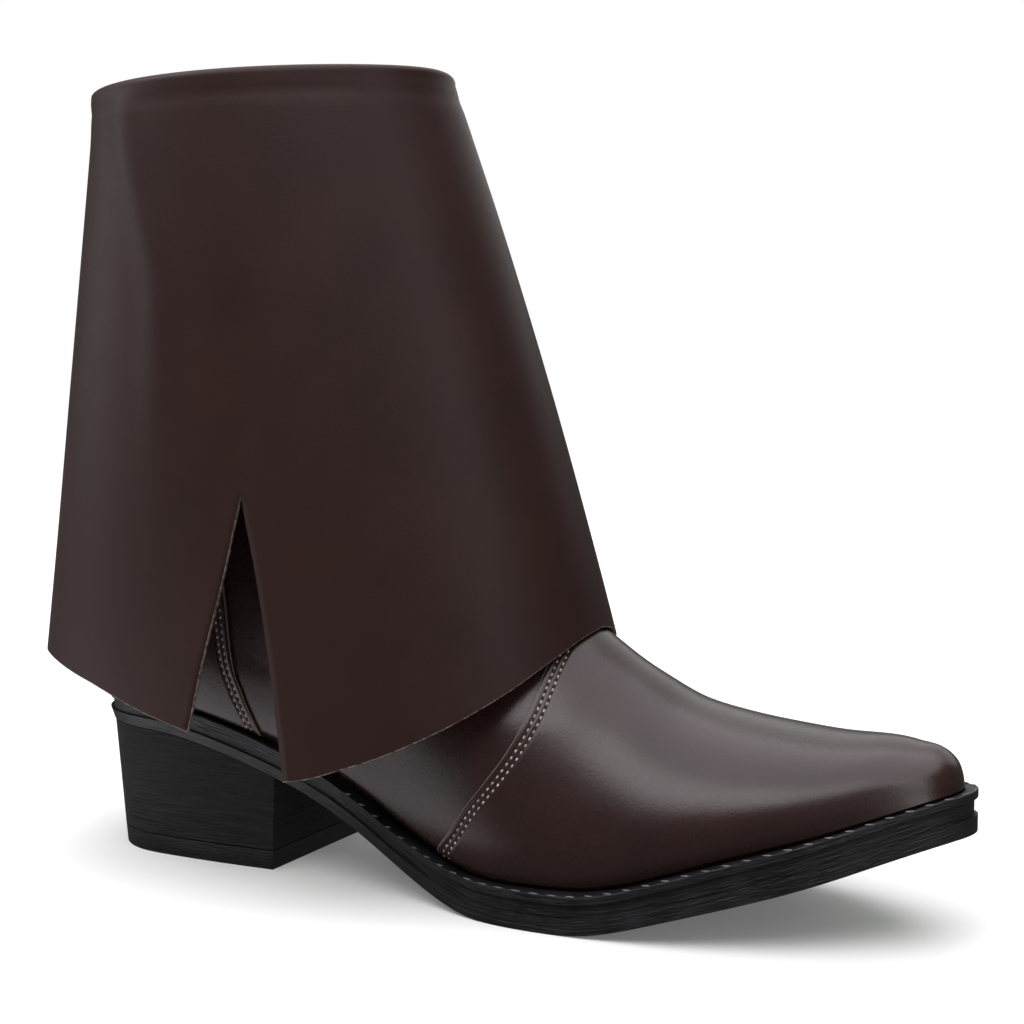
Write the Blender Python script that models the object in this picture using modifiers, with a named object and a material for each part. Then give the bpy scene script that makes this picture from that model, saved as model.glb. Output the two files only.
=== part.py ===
# A right cuffed ankle boot in its own frame: metres, +Z up, +X to the toe, +Y to the inner side of the
# foot. The origin is the middle of the heel's base, on the floor.

import math
from bisect import bisect_right

import bmesh
import bpy
from mathutils import Vector

# Sole and heel
SOLE_LENGTH = 0.2774
BALL_WIDTH = 0.0818
HEEL_WIDTH = 0.0564
TOE_SWING = 0.0023
WAIST_HOLLOW = 0.0028
TOE_SPRING = 0.0284
SEAT_HEIGHT = 0.0370
HEEL_BASE_LENGTH = 0.0680
HEEL_TAPER_BACK = 0.0042
HEEL_TAPER_SIDE = 0.0023
HEEL_INSET = 0.0008
BREAST_LEAN = 0.0020
LIFT_THICKNESS = 0.0058
OUTSOLE_FRONT = 0.0045
OUTSOLE_BACK = 0.0035
MIDSOLE_TOE = 0.0041
MIDSOLE_BALL = 0.0033
MIDSOLE_WAIST = 0.0022
MIDSOLE_HEEL = 0.0029
MIDSOLE_INSET = 0.0006
WELT_THICKNESS = 0.0022
INSOLE_THICKNESS = 0.0030
EDGE_CHAMFER = 0.0005

# Upper
WELT_MARGIN_TOE = 0.0052
WELT_MARGIN_HEEL = 0.0019
WELT_MARGIN_BALL = 0.0056
TOE_DEPTH = 0.0140
INSTEP_RISE = 0.0703
RIDGE_SHIFT = 0.0030
SIDE_BULGE = 0.0014
SIDE_BULGE_RISE = 0.0090
HEEL_BULGE = 0.0028
ANKLE_HOLLOW = 0.0065
ANKLE_WIDTH = 0.0600
SHAFT_HEIGHT = 0.2350
COLLAR_LENGTH = 0.1192
COLLAR_WIDTH = 0.0734
COLLAR_SET = 0.0586
UPPER_WALL = 0.0017
OVERLAY = 0.0010
LIP_RISE = 0.0010

# Cuff
CUFF_THICKNESS = 0.0012
CUFF_DEPTH = 0.1860
CUFF_FLARE_LENGTH = 0.0399
CUFF_FLARE_WIDTH = 0.0223
CUFF_LEAN = 0.0188
FACING_DEPTH = 0.0230
SLIT_HEIGHT = 0.0738
SLIT_WIDTH = 0.0310
SLIT_TURN = 0.4630

CLEARANCE = 0.0003

# How finely the lofts are cut
HALF_TURN_STEPS = 28
CUFF_COLUMNS = 48
CUFF_UPPER_ROWS = 4
CUFF_LOWER_ROWS = 6
FOLD_STEPS = 5
HEEL_STATIONS = 12
HEEL_LEVELS = (0.4, 0.7)
BACK_END_STEPS = 3
FRONT_END_STEPS = 4
RIDGE_STEPS = 60
TOE_WALL_STEPS = 16
EDGE_STEPS = 16
SOLVE_STEPS = 40
SHARP_ANGLE = math.radians(40)


def table(columns, *rows):
    """Name the columns of a short table; the first column is what it is read by."""
    names = columns.split()
    return names[0], {name: [row[i] for row in rows] for i, name in enumerate(names)}


def smooth(xs, ys, x):
    """Monotone cubic through the points (xs, ys), level with its end values beyond them."""
    if x <= xs[0]:
        return ys[0]
    if x >= xs[-1]:
        return ys[-1]
    i = bisect_right(xs, x) - 1

    def secant(k):
        return (ys[k + 1] - ys[k]) / (xs[k + 1] - xs[k])

    def slope(k):
        if k == 0:
            return secant(0)
        if k == len(xs) - 1:
            return secant(k - 1)
        before, after = secant(k - 1), secant(k)
        if before * after <= 0.0:
            return 0.0
        return 2.0 * before * after / (before + after)

    width = xs[i + 1] - xs[i]
    u = (x - xs[i]) / width
    return (ys[i] * (1 + 2 * u) * (1 - u) ** 2 + ys[i + 1] * u * u * (3 - 2 * u)
            + slope(i) * width * u * (1 - u) ** 2 - slope(i + 1) * width * u * u * (1 - u))


def read(tab, column, at):
    key, columns = tab
    return smooth(columns[key], columns[column], at)


def blend(low, high, x):
    """Smooth step from 0 at low to 1 at high."""
    u = min(1.0, max(0.0, (x - low) / (high - low)))
    return u * u * (3 - 2 * u)


# Plan of the sole: along is the share of the sole's length from its back; the half width is heel times
# the heel's width plus ball times the ball's width; swing and waist are shares of the two side shifts.
OUTLINE = table("along heel ball swing waist",
                (0.012, 0.232, 0.000, 0.00, 0.00),
                (0.022, 0.307, 0.000, 0.00, 0.00),
                (0.045, 0.414, 0.000, 0.00, 0.00),
                (0.072, 0.475, 0.000, 0.00, 0.00),
                (0.105, 0.495, 0.000, 0.00, 0.00),
                (0.139, 0.500, 0.000, 0.00, 0.00),
                (0.232, 0.500, 0.000, 0.00, 0.00),
                (0.282, 0.490, 0.000, 0.00, 0.13),
                (0.349, 0.340, 0.103, 0.00, 0.72),
                (0.416, 0.150, 0.253, 0.00, 0.88),
                (0.483, 0.030, 0.388, 0.00, 1.02),
                (0.550, 0.000, 0.470, 0.00, 1.22),
                (0.600, 0.000, 0.493, 0.00, 1.00),
                (0.650, 0.000, 0.500, 0.00, 0.62),
                (0.701, 0.000, 0.498, 0.00, 0.31),
                (0.752, 0.000, 0.484, 0.05, 0.06),
                (0.802, 0.000, 0.448, 0.35, 0.00),
                (0.859, 0.000, 0.391, 0.66, 0.00),
                (0.909, 0.000, 0.307, 1.00, 0.00),
                (0.960, 0.000, 0.196, 0.92, 0.00),
                (0.986, 0.000, 0.114, 0.60, 0.00))

# Underside of the sole: seat is the share of the seat's height, spring the share of the toe spring.
UNDERSIDE = table("along seat spring",
                  (0.000, 1.085, 0.000),
                  (0.060, 1.080, 0.000),
                  (0.120, 1.063, 0.000),
                  (0.150, 1.030, 0.000),
                  (0.178, 0.988, 0.000),
                  (0.205, 0.940, 0.000),
                  (0.232, 0.882, 0.000),
                  (0.268, 0.800, 0.000),
                  (0.316, 0.690, 0.000),
                  (0.349, 0.590, 0.000),
                  (0.386, 0.462, 0.000),
                  (0.413, 0.345, 0.000),
                  (0.440, 0.240, 0.000),
                  (0.466, 0.152, 0.000),
                  (0.493, 0.078, 0.000),
                  (0.516, 0.030, 0.000),
                  (0.537, 0.000, 0.000),
                  (0.644, 0.000, 0.000),
                  (0.681, 0.000, 0.062),
                  (0.728, 0.000, 0.203),
                  (0.774, 0.000, 0.340),
                  (0.819, 0.000, 0.470),
                  (0.862, 0.000, 0.602),
                  (0.902, 0.000, 0.740),
                  (0.943, 0.000, 0.890),
                  (1.000, 0.000, 1.070))

# Where the outsole grows from its back to its front thickness, and the midsole's share of each of its own.
OUTSOLE_FROM = 0.412
OUTSOLE_TO = 0.550
MIDSOLE = table("along heel waist ball toe",
                (0.240, 1.0, 0.0, 0.0, 0.0),
                (0.360, 0.0, 1.0, 0.0, 0.0),
                (0.412, 0.0, 1.0, 0.0, 0.0),
                (0.550, 0.0, 0.0, 1.0, 0.0),
                (0.680, 0.0, 0.0, 1.0, 0.0),
                (0.820, 0.0, 0.0, 0.0, 1.0))

# How much of the welt's margin shows, along the upper.
MARGIN = table("along share",
               (0.00, 0.45),
               (0.28, 0.48),
               (0.40, 0.64),
               (0.56, 0.62),
               (0.68, 1.00),
               (0.88, 1.00),
               (1.00, 0.70))

# Ridge of the vamp, from the toe's foot to the top of the instep: ring places the row on the upper,
# along is the share of the sole's length, toe the share of the toe's depth, rise that of the instep.
VAMP = table("ring along toe rise",
             (0.000, 0.9840, 0.00, 0.000),
             (0.030, 0.9865, 0.20, 0.000),
             (0.060, 0.9841, 0.46, 0.000),
             (0.090, 0.9740, 0.76, 0.000),
             (0.120, 0.9588, 1.00, 0.000),
             (0.170, 0.9219, 1.00, 0.063),
             (0.220, 0.8783, 1.00, 0.120),
             (0.280, 0.8278, 1.00, 0.187),
             (0.340, 0.7744, 1.00, 0.270),
             (0.400, 0.7208, 1.00, 0.372),
             (0.460, 0.6705, 1.00, 0.525),
             (0.520, 0.6227, 1.00, 0.678),
             (0.580, 0.5777, 1.00, 0.816),
             (0.640, 0.5363, 1.00, 1.000))
TOE_RING = 0.120
INSTEP_RING = 0.640

# Shin, from the top of the instep to the collar: draw is the share of the way back to the collar's
# front, rise that of the way up.
SHIN = table("ring draw rise",
             (0.640, 0.000, 0.000),
             (0.700, 0.330, 0.106),
             (0.760, 0.596, 0.243),
             (0.820, 0.768, 0.407),
             (0.880, 0.878, 0.592),
             (0.940, 0.956, 0.791),
             (1.000, 1.000, 1.000))

# Back of the upper, from the heel's foot to the collar: set is the share of the way to the collar's
# back, rise that of the way up; bulge and hollow are shares of the heel's bulge and the ankle's hollow.
BACK = table("ring set bulge hollow rise",
             (0.000, 0.00, 0.00, 0.00, 0.000),
             (0.060, 0.00, 0.50, 0.00, 0.017),
             (0.120, 0.00, 0.85, 0.00, 0.042),
             (0.220, 0.00, 1.00, 0.00, 0.076),
             (0.340, 0.00, 0.95, 0.12, 0.116),
             (0.460, 0.05, 0.70, 0.40, 0.155),
             (0.580, 0.12, 0.35, 0.75, 0.214),
             (0.700, 0.30, 0.10, 1.00, 0.313),
             (0.760, 0.40, 0.00, 1.00, 0.411),
             (0.820, 0.55, 0.00, 0.80, 0.539),
             (0.880, 0.72, 0.00, 0.50, 0.682),
             (0.940, 0.87, 0.00, 0.20, 0.835),
             (1.000, 1.00, 0.00, 0.00, 1.000))

# Half width of the shaft: girth is the share of the way from the ankle's to the collar's width.
SHAFT = table("ring girth",
              (0.350, 0.05),
              (0.600, 0.00),
              (0.700, 0.06),
              (0.760, 0.20),
              (0.820, 0.42),
              (0.880, 0.64),
              (0.940, 0.83),
              (1.000, 1.00))
SHAFT_FROM = 0.34
SHAFT_TO = 0.72

# Side view of the vamp's back edge and the counter's front edge: along is the share of the sole's
# length, height that of the instep's ridge above the welt there.
VAMP_EDGE = table("height along",
                  (-0.300, 0.488),
                  (0.000, 0.488),
                  (0.150, 0.509),
                  (0.250, 0.525),
                  (0.375, 0.546),
                  (0.500, 0.569),
                  (0.580, 0.578),
                  (0.700, 0.579),
                  (1.000, 0.590),
                  (1.300, 0.600))
COUNTER_EDGE = table("height along",
                     (-0.300, 0.255),
                     (0.000, 0.253),
                     (0.145, 0.235),
                     (0.250, 0.222),
                     (0.350, 0.217),
                     (0.600, 0.212),
                     (1.000, 0.205),
                     (1.600, 0.190))

# Plan of the cuff at each share of its depth: lean is the share of its shift to the front, flare the
# share of what it gains in length and in width.
CUFF_LINE = table("drop lean flare",
                  (0.00, 0.000, 0.000),
                  (0.25, 0.311, 0.272),
                  (0.50, 0.580, 0.528),
                  (0.75, 0.810, 0.768),
                  (1.00, 1.000, 1.000),
                  (1.10, 1.065, 1.090))

# Hem of the cuff as shares of its depth: turn is the share of the half turn from front to back.
HEM = table("turn outer inner",
            (0.000, 0.848, 0.848),
            (0.049, 0.856, 0.856),
            (0.115, 0.882, 0.880),
            (0.193, 0.930, 0.920),
            (0.277, 0.986, 0.965),
            (0.356, 1.034, 1.000),
            (0.426, 1.063, 1.018),
            (0.523, 1.010, 1.010),
            (0.585, 0.987, 0.990),
            (0.689, 0.950, 0.950),
            (0.819, 0.930, 0.930),
            (1.000, 0.926, 0.926))

# Edges of the slit: fall is the share of its height from the top, front and back the shares of its width.
SLIT = table("fall front back",
             (0.000, 0.000, 0.000),
             (0.280, 0.135, 0.180),
             (0.675, 0.266, 0.459),
             (1.000, 0.352, 0.656))

LEATHER = ("brown_leather", (0.040, 0.023, 0.020), 0.42, 0.0)
RUBBER = ("black_sole", (0.011, 0.011, 0.012), 0.45, 0.0)
LINING = ("dark_lining", (0.020, 0.014, 0.012), 0.85, 0.0)


def new_collection(name):
    collection = bpy.data.collections.new(name)
    bpy.context.scene.collection.children.link(collection)
    return collection


for old in list(bpy.data.objects):
    bpy.data.objects.remove(old, do_unlink=True)
BOOT = new_collection("cuffed_boot")
CUTTERS = new_collection("cutters")


def material(finish):
    name, colour, roughness, metallic = finish
    if name in bpy.data.materials:
        return bpy.data.materials[name]
    made = bpy.data.materials.new(name)
    made.use_nodes = True
    shader = made.node_tree.nodes["Principled BSDF"]
    shader.inputs["Base Color"].default_value = (*colour, 1.0)
    shader.inputs["Roughness"].default_value = roughness
    shader.inputs["Metallic"].default_value = metallic
    return made


def new_object(name, work, finish, collection):
    """Make an object of the bmesh, its faces turned outwards."""
    bmesh.ops.recalc_face_normals(work, faces=work.faces)
    mesh = bpy.data.meshes.new(name)
    work.to_mesh(mesh)
    work.free()
    made = bpy.data.objects.new(name, mesh)
    collection.objects.link(made)
    if finish:
        mesh.materials.append(material(finish))
    mesh.shade_smooth()
    mesh.set_sharp_from_angle(angle=SHARP_ANGLE)
    return made


def cutter(made):
    made.hide_render = True
    made.display_type = "WIRE"
    return made


def add_boolean(target, tool, operation):
    cut = target.modifiers.new(tool.name, "BOOLEAN")
    cut.operation = operation
    cut.solver = "EXACT"
    cut.object = tool


def ring_loft(name, rings, finish, collection, closed):
    """Join rings of points, each a closed loop; closed joins the last ring to the first."""
    work = bmesh.new()
    loops = [[work.verts.new(point) for point in ring] for ring in rings]
    pairs = list(zip(loops, loops[1:]))
    if closed:
        pairs.append((loops[-1], loops[0]))
    else:
        work.faces.new(loops[0])
        work.faces.new(loops[-1])
    for low, high in pairs:
        for i in range(len(low)):
            j = (i + 1) % len(low)
            work.faces.new((low[i], low[j], high[j], high[i]))
    return new_object(name, work, finish, collection)


# The sole's own functions

SOLE_BACK = -(HEEL_BASE_LENGTH / 2 + HEEL_TAPER_BACK + HEEL_INSET)
SOLE_FRONT = SOLE_BACK + SOLE_LENGTH
FOOT_BACK = SOLE_BACK + WELT_MARGIN_HEEL
FOOT_FRONT = SOLE_FRONT - WELT_MARGIN_TOE
TURN = 2 * math.pi
# How much closer the stations of the upper stand at the waist than at the ends.
TURN_CROWDING = 0.03


def oval(share):
    """Half width of a unit ellipse along its length: it rounds the two ends of an outline."""
    share = min(1.0, max(0.0, share))
    return 2.0 * math.sqrt(share * (1.0 - share))


def half_width(share):
    """Half width of the sole at a share of its length; the table is read as shares of an ellipse."""
    key, columns = OUTLINE
    widths = [(HEEL_WIDTH * heel + BALL_WIDTH * ball) / oval(along)
              for along, heel, ball in zip(columns["along"], columns["heel"], columns["ball"])]
    return smooth(columns["along"], widths, share) * oval(share)


def side_shift(share):
    return TOE_SWING * read(OUTLINE, "swing", share) - WAIST_HOLLOW * read(OUTLINE, "waist", share)


def along(x):
    return (x - SOLE_BACK) / SOLE_LENGTH


def underside(x):
    share = along(x)
    return SEAT_HEIGHT * read(UNDERSIDE, "seat", share) + TOE_SPRING * read(UNDERSIDE, "spring", share)


def outsole_top(x):
    grown = blend(OUTSOLE_FROM, OUTSOLE_TO, along(x))
    return underside(x) + OUTSOLE_BACK + (OUTSOLE_FRONT - OUTSOLE_BACK) * grown


def midsole_top(x):
    share = along(x)
    thickness = MIDSOLE_HEEL * read(MIDSOLE, "heel", share) + MIDSOLE_WAIST * read(MIDSOLE, "waist", share)
    thickness += MIDSOLE_BALL * read(MIDSOLE, "ball", share) + MIDSOLE_TOE * read(MIDSOLE, "toe", share)
    return outsole_top(x) + CLEARANCE + thickness


def welt_top(x):
    return midsole_top(x) + CLEARANCE + WELT_THICKNESS


def half_turns():
    """Angles from the back to the front of a loop round the boot, a little closer at the waist."""
    shares = [i / HALF_TURN_STEPS for i in range(HALF_TURN_STEPS + 1)]
    return [math.pi * (share + TURN_CROWDING * math.sin(TURN * share)) for share in shares]


def foot_x(turn):
    """Place along the sole of the upper's foot, at a turn round it."""
    return FOOT_BACK + (FOOT_FRONT - FOOT_BACK) * (1 - math.cos(turn)) / 2


HALF_TURNS = half_turns()


def sole_outline(inset):
    """Rows of points along the sole's outer and inner side, at the upper's places and past its ends."""
    back = SOLE_BACK + inset
    front = SOLE_FRONT - inset
    places = [back + (FOOT_BACK - back) * (i / BACK_END_STEPS) ** 2 for i in range(BACK_END_STEPS)]
    places += [foot_x(turn) for turn in HALF_TURNS]
    places += [front + (FOOT_FRONT - front) * (i / FRONT_END_STEPS) ** 2
               for i in reversed(range(FRONT_END_STEPS))]
    outer = []
    inner = []
    for x in places:
        share = (x - back) / (front - back)
        half = half_width(share) * (1 - 2 * inset / BALL_WIDTH)
        middle = side_shift(share)
        outer.append((x, middle - half))
        inner.append((x, middle + half))
    return outer, inner


def plate(name, outer, inner, levels, finish):
    """A plate whose plan is the outer and inner row of points; levels are (inset, height of x) pairs."""
    work = bmesh.new()
    middle = (outer[0][0] + outer[-1][0]) / 2
    reach = (outer[-1][0] - outer[0][0]) / 2

    def place(point, opposite, inset, height):
        x, y = point
        across = (opposite[1] - y) / 2
        pull = math.copysign(min(inset, abs(across)), across)
        return work.verts.new((x + inset * (middle - x) / reach, y + pull, height(x)))

    rows = []
    for inset, height in levels:
        row = [place(p, q, inset, height) for p, q in zip(outer, inner)]
        back = [place(q, p, inset, height) for p, q in zip(outer[1:-1], inner[1:-1])]
        rows.append((row, [row[0], *back, row[-1]]))
    for (low_out, low_in), (high_out, high_in) in zip(rows, rows[1:]):
        for i in range(len(low_out) - 1):
            work.faces.new((low_out[i], low_out[i + 1], high_out[i + 1], high_out[i]))
            work.faces.new((low_in[i + 1], low_in[i], high_in[i], high_in[i + 1]))
    for left, right in (rows[0], rows[-1]):
        for i in range(len(left) - 1):
            corners = [left[i], left[i + 1], right[i + 1], right[i]]
            work.faces.new(list(dict.fromkeys(corners)))
    return new_object(name, work, finish, BOOT)


def build_sole():
    outer, inner = sole_outline(0.0)
    plate("outsole", outer, inner,
          [(EDGE_CHAMFER, underside),
           (0.0, lambda x: underside(x) + EDGE_CHAMFER),
           (0.0, outsole_top)], RUBBER)
    outer, inner = sole_outline(MIDSOLE_INSET)
    plate("midsole", outer, inner,
          [(0.0, lambda x: outsole_top(x) + CLEARANCE), (0.0, midsole_top)], RUBBER)


# The heel

HEEL_FRONT = HEEL_BASE_LENGTH / 2


def heel_ring(height, level):
    """Ring of the heel's plan: level is 0 at its base and 1 at the seat; height is a function of x."""
    back = SOLE_BACK + HEEL_INSET + HEEL_TAPER_BACK * (1 - level)
    front = HEEL_FRONT + BREAST_LEAN * level
    narrow = 1 - 2 * (HEEL_INSET + HEEL_TAPER_SIDE * (1 - level)) / HEEL_WIDTH
    reach = along(HEEL_FRONT + BREAST_LEAN)
    outer = []
    inner = []
    for i in range(1, HEEL_STATIONS + 1):
        turn = math.pi / 2 * i / HEEL_STATIONS
        share = 1 - math.cos(turn)
        x = back + (front - back) * share
        half = half_width(reach * share) * narrow
        outer.append((x, -half))
        inner.append((x, half))
    points = [(back, 0.0), *outer, *reversed(inner)]
    return [Vector((x, y, height(x))) for x, y in points]


def build_heel():
    def flat(z):
        return lambda x: z

    low = LIFT_THICKNESS + CLEARANCE
    share = low / SEAT_HEIGHT
    ring_loft("heel_lift", [heel_ring(flat(0.0), 0.0), heel_ring(flat(LIFT_THICKNESS), share)],
              RUBBER, BOOT, closed=False)
    rings = [heel_ring(flat(low), share)]
    for level in HEEL_LEVELS:
        rings.append(heel_ring(flat(SEAT_HEIGHT * level), level))
    rings.append(heel_ring(lambda x: underside(x) - CLEARANCE, 1.0))
    ring_loft("heel_block", rings, RUBBER, BOOT, closed=False)


# The upper's own functions

COLLAR_MIDDLE = SOLE_BACK + COLLAR_SET
COLLAR_BACK = COLLAR_MIDDLE - COLLAR_LENGTH / 2
COLLAR_FRONT = COLLAR_MIDDLE + COLLAR_LENGTH / 2


def lip(x):
    """Height at which the upper leaves the welt."""
    return welt_top(x) + LIP_RISE


def vamp_x(share):
    """The vamp's table gives places on the sole; the first one is the foot of the toe."""
    key, columns = VAMP
    return FOOT_FRONT + SOLE_LENGTH * (share - columns["along"][0])


def vamp_line(ring):
    x = vamp_x(read(VAMP, "along", ring))
    z = lip(x) + TOE_DEPTH * read(VAMP, "toe", ring) + INSTEP_RISE * read(VAMP, "rise", ring)
    return x, z


def front_line(ring):
    """Place in side view of a ring's front end."""
    if ring <= INSTEP_RING:
        return vamp_line(ring)
    x, z = vamp_line(INSTEP_RING)
    draw = read(SHIN, "draw", ring)
    rise = read(SHIN, "rise", ring)
    return x + (COLLAR_FRONT - x) * draw, z + (SHAFT_HEIGHT - z) * rise


def back_line(ring):
    x = FOOT_BACK + (COLLAR_BACK - FOOT_BACK) * read(BACK, "set", ring)
    x += ANKLE_HOLLOW * read(BACK, "hollow", ring) - HEEL_BULGE * read(BACK, "bulge", ring)
    z = lip(FOOT_BACK)
    return x, z + (SHAFT_HEIGHT - z) * read(BACK, "rise", ring)


# Past the toe box the ridge runs on by a share of the sole's length, and drops by one of the toe's depth.
TIP_RUN = 0.01
TIP_DROP = 0.06


def ridge_rows():
    """Front outline as heights over x, from the collar to the toe; past the toe box it runs on level."""
    rings = [TOE_RING + (1.0 - TOE_RING) * i / RIDGE_STEPS for i in reversed(range(RIDGE_STEPS + 1))]
    rows = [front_line(ring) for ring in rings]
    rows.append((FOOT_FRONT + SOLE_LENGTH * TIP_RUN, rows[-1][1] - TOE_DEPTH * TIP_DROP))
    return [x for x, z in rows], [z for x, z in rows]


def toe_wall_rows():
    """Reach of the toe's front wall over its height above the lip."""
    rows = [front_line(TOE_RING * i / TOE_WALL_STEPS) for i in range(TOE_WALL_STEPS + 1)]
    base = rows[0][1]
    return [z - base for x, z in rows], [x for x, z in rows]


RIDGE_X, RIDGE_Z = ridge_rows()
WALL_Z, WALL_X = toe_wall_rows()
TOE_ZONE = 0.045
# Power of the cross section's crown: an ellipse at the instep, squarer over the toes.
CROWN = 2.0
CROWN_GAIN = 0.7
CROWN_FROM = 0.55
CROWN_TO = 0.95
# How fast the heel's bulge and the foot's own line fade away from the back and from the welt.
BACK_FADE = 3
FOOT_FADE = 1.5
NORMAL_STEP = 0.02


def foot_half_width(x):
    share = (x - FOOT_BACK) / (FOOT_FRONT - FOOT_BACK)
    margin = WELT_MARGIN_BALL * read(MARGIN, "share", share)
    return half_width(share) * (1 - 2 * margin / BALL_WIDTH)


def foot_width_at(x, z, c, back_x):
    """Half width of the foot's form at a place in side view; c is the share of the ring from its back."""
    low = lip(x)
    top = smooth(RIDGE_X, RIDGE_Z, x)
    rise = min(1.0, max(0.0, (z - low) / max(top - low, 1e-6)))
    wall = smooth(WALL_Z, WALL_X, z - lip(FOOT_FRONT))
    zone = FOOT_FRONT - TOE_ZONE
    near = min(1.0, max(0.0, (x - zone) / max(wall - zone, 1e-6)))
    place = x + (FOOT_FRONT - wall) * near * near + (FOOT_BACK - back_x) * (1 - c) ** BACK_FADE
    crown = CROWN + CROWN_GAIN * blend(CROWN_FROM, CROWN_TO, along(x))
    dome = math.sqrt(max(0.0, 1 - rise ** crown))
    swell = max(0.0, z - low) / SIDE_BULGE_RISE
    bulge = 1 + 2 * SIDE_BULGE / BALL_WIDTH * swell * math.exp(1 - swell)
    return foot_half_width(place) * dome * bulge, rise


def upper_point(turn, ring):
    """Point of the upper's outer face: turn runs from 0 at the back, round the outer side, pi at front."""
    front_x, front_z = front_line(ring)
    back_x, back_z = back_line(ring)
    c = (1 - math.cos(turn)) / 2
    x = back_x + (front_x - back_x) * c
    z = back_z + (front_z - back_z) * c
    chord = lip(FOOT_BACK) + (lip(FOOT_FRONT) - lip(FOOT_BACK)) * c
    z += (lip(foot_x(turn)) - chord) * max(0.0, 1 - ring / INSTEP_RING) ** FOOT_FADE
    wide, rise = foot_width_at(x, z, c, back_x)
    ankle = ANKLE_WIDTH / 2
    girth = ankle + (COLLAR_WIDTH / 2 - ankle) * read(SHAFT, "girth", ring)
    shaft = blend(SHAFT_FROM, SHAFT_TO, ring)
    half = wide * (1 - shaft) + girth * abs(math.sin(turn)) * shaft
    swing = side_shift((x - FOOT_BACK) / (FOOT_FRONT - FOOT_BACK)) + RIDGE_SHIFT * rise * rise
    middle = swing * (1 - shaft)
    side = -1 if turn <= math.pi else 1
    if abs(math.sin(turn)) < 1e-6:
        half = 0.0
    return Vector((x, middle + side * half, z))


def upper_normal(turn, ring):
    high = min(1.0, max(NORMAL_STEP, ring + NORMAL_STEP / 2))
    low = high - NORMAL_STEP
    around = upper_point((turn + NORMAL_STEP) % TURN, ring) - upper_point((turn - NORMAL_STEP) % TURN, ring)
    up = upper_point(turn, high) - upper_point(turn, low)
    return around.cross(up).normalized()


def upper_face(turn, ring, offset):
    """Point at a distance outside the upper's outer face, or inside it where offset is negative."""
    return upper_point(turn, ring) + upper_normal(turn, ring) * offset


TURNS = [*HALF_TURNS, *[TURN - turn for turn in HALF_TURNS[-2:0:-1]]]
# Rings stand closer where the toe's wall turns into the ridge; the wall's inner face has fewer.
RINGS = [0.0, 0.03, 0.06, 0.09, 0.12, 0.16, 0.20, 0.25, 0.30, 0.35, 0.40, 0.46, 0.52, 0.58, 0.64,
         0.70, 0.77, 0.85]
INNER_RINGS = [0.0, 0.06, 0.12, 0.20, 0.30, 0.40, 0.52, 0.64, 0.77]


# The welt's outer edge reaches past the upper's stations only near its ends.
WELT_END_FADE = 3
# The overlays' skins begin a little above the lip, and end between two rings of the wall.
SKIN_START = 0.008
VAMP_SKIN_END = 0.66
COUNTER_SKIN_END = 0.80


def between(start, end):
    return [start, *[ring for ring in RINGS if start < ring < end], end]


def foot_ring(offset):
    """The upper's lowest ring: straight down from the lip to the midsole."""
    points = [upper_face(turn, 0.0, offset) for turn in TURNS]
    return [Vector((p.x, p.y, midsole_top(p.x) + CLEARANCE)) for p in points]


def skin(name, inside, outside, rings):
    """A closed shell between two distances from the upper's outer face."""
    out = [[upper_face(turn, ring, outside) for turn in TURNS] for ring in rings]
    back = [[upper_face(turn, ring, inside) for turn in TURNS] for ring in reversed(rings)]
    return cutter(ring_loft(name, out + back, None, CUTTERS, closed=True))


def side_prism(name, edge, forward, reach):
    """A prism across the boot whose side view lies before or behind an edge line."""
    key, columns = edge
    heights = columns["height"]
    low, high = heights[0], heights[-1]
    line = []
    for i in range(EDGE_STEPS + 1):
        height = low + (high - low) * i / EDGE_STEPS
        x = SOLE_BACK + SOLE_LENGTH * read(edge, "along", height)
        line.append((x, lip(x) + height * INSTEP_RISE))
    far = SOLE_FRONT + reach if forward else SOLE_BACK - reach
    corners = [*line, (far, line[-1][1]), (far, line[0][1] - SEAT_HEIGHT)]
    corners.append((line[0][0], line[0][1] - SEAT_HEIGHT))
    work = bmesh.new()
    face = work.faces.new([work.verts.new((x, -BALL_WIDTH, z)) for x, z in corners])
    pushed = bmesh.ops.extrude_face_region(work, geom=[face])
    moved = [item for item in pushed["geom"] if isinstance(item, bmesh.types.BMVert)]
    bmesh.ops.translate(work, verts=moved, vec=(0, 2 * BALL_WIDTH, 0))
    return cutter(new_object(name, work, None, CUTTERS))


def ring_at(turn, height):
    """Ring of the upper that lies at a height, at one turn round it."""
    low = INSTEP_RING
    high = 1.0
    for _ in range(SOLVE_STEPS):
        middle = (low + high) / 2
        if upper_point(turn, middle).z < height:
            low = middle
        else:
            high = middle
    return low


def collar_rim(angle):
    """Point and outward direction of the shaft's outer face at the collar, in plan."""
    a = COLLAR_LENGTH / 2
    b = COLLAR_WIDTH / 2
    point = Vector((COLLAR_MIDDLE + a * math.cos(angle), -b * math.sin(angle), SHAFT_HEIGHT))
    out = Vector((math.cos(angle) / a, -math.sin(angle) / b, 0)).normalized()
    return point, out


def wall_rings(offset, places):
    """Rings of one face of the wall; the last two are where the cuff's facing ends, and the collar."""
    rings = [[upper_face(turn, ring, offset) for turn in TURNS] for ring in places]
    facing = SHAFT_HEIGHT - FACING_DEPTH
    rings.append([upper_face(turn, ring_at(turn, facing), offset) for turn in TURNS])
    collar = [collar_rim(math.pi - turn) for turn in TURNS]
    rings.append([rim + out * offset for rim, out in collar])
    return [foot_ring(offset), *rings]


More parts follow.
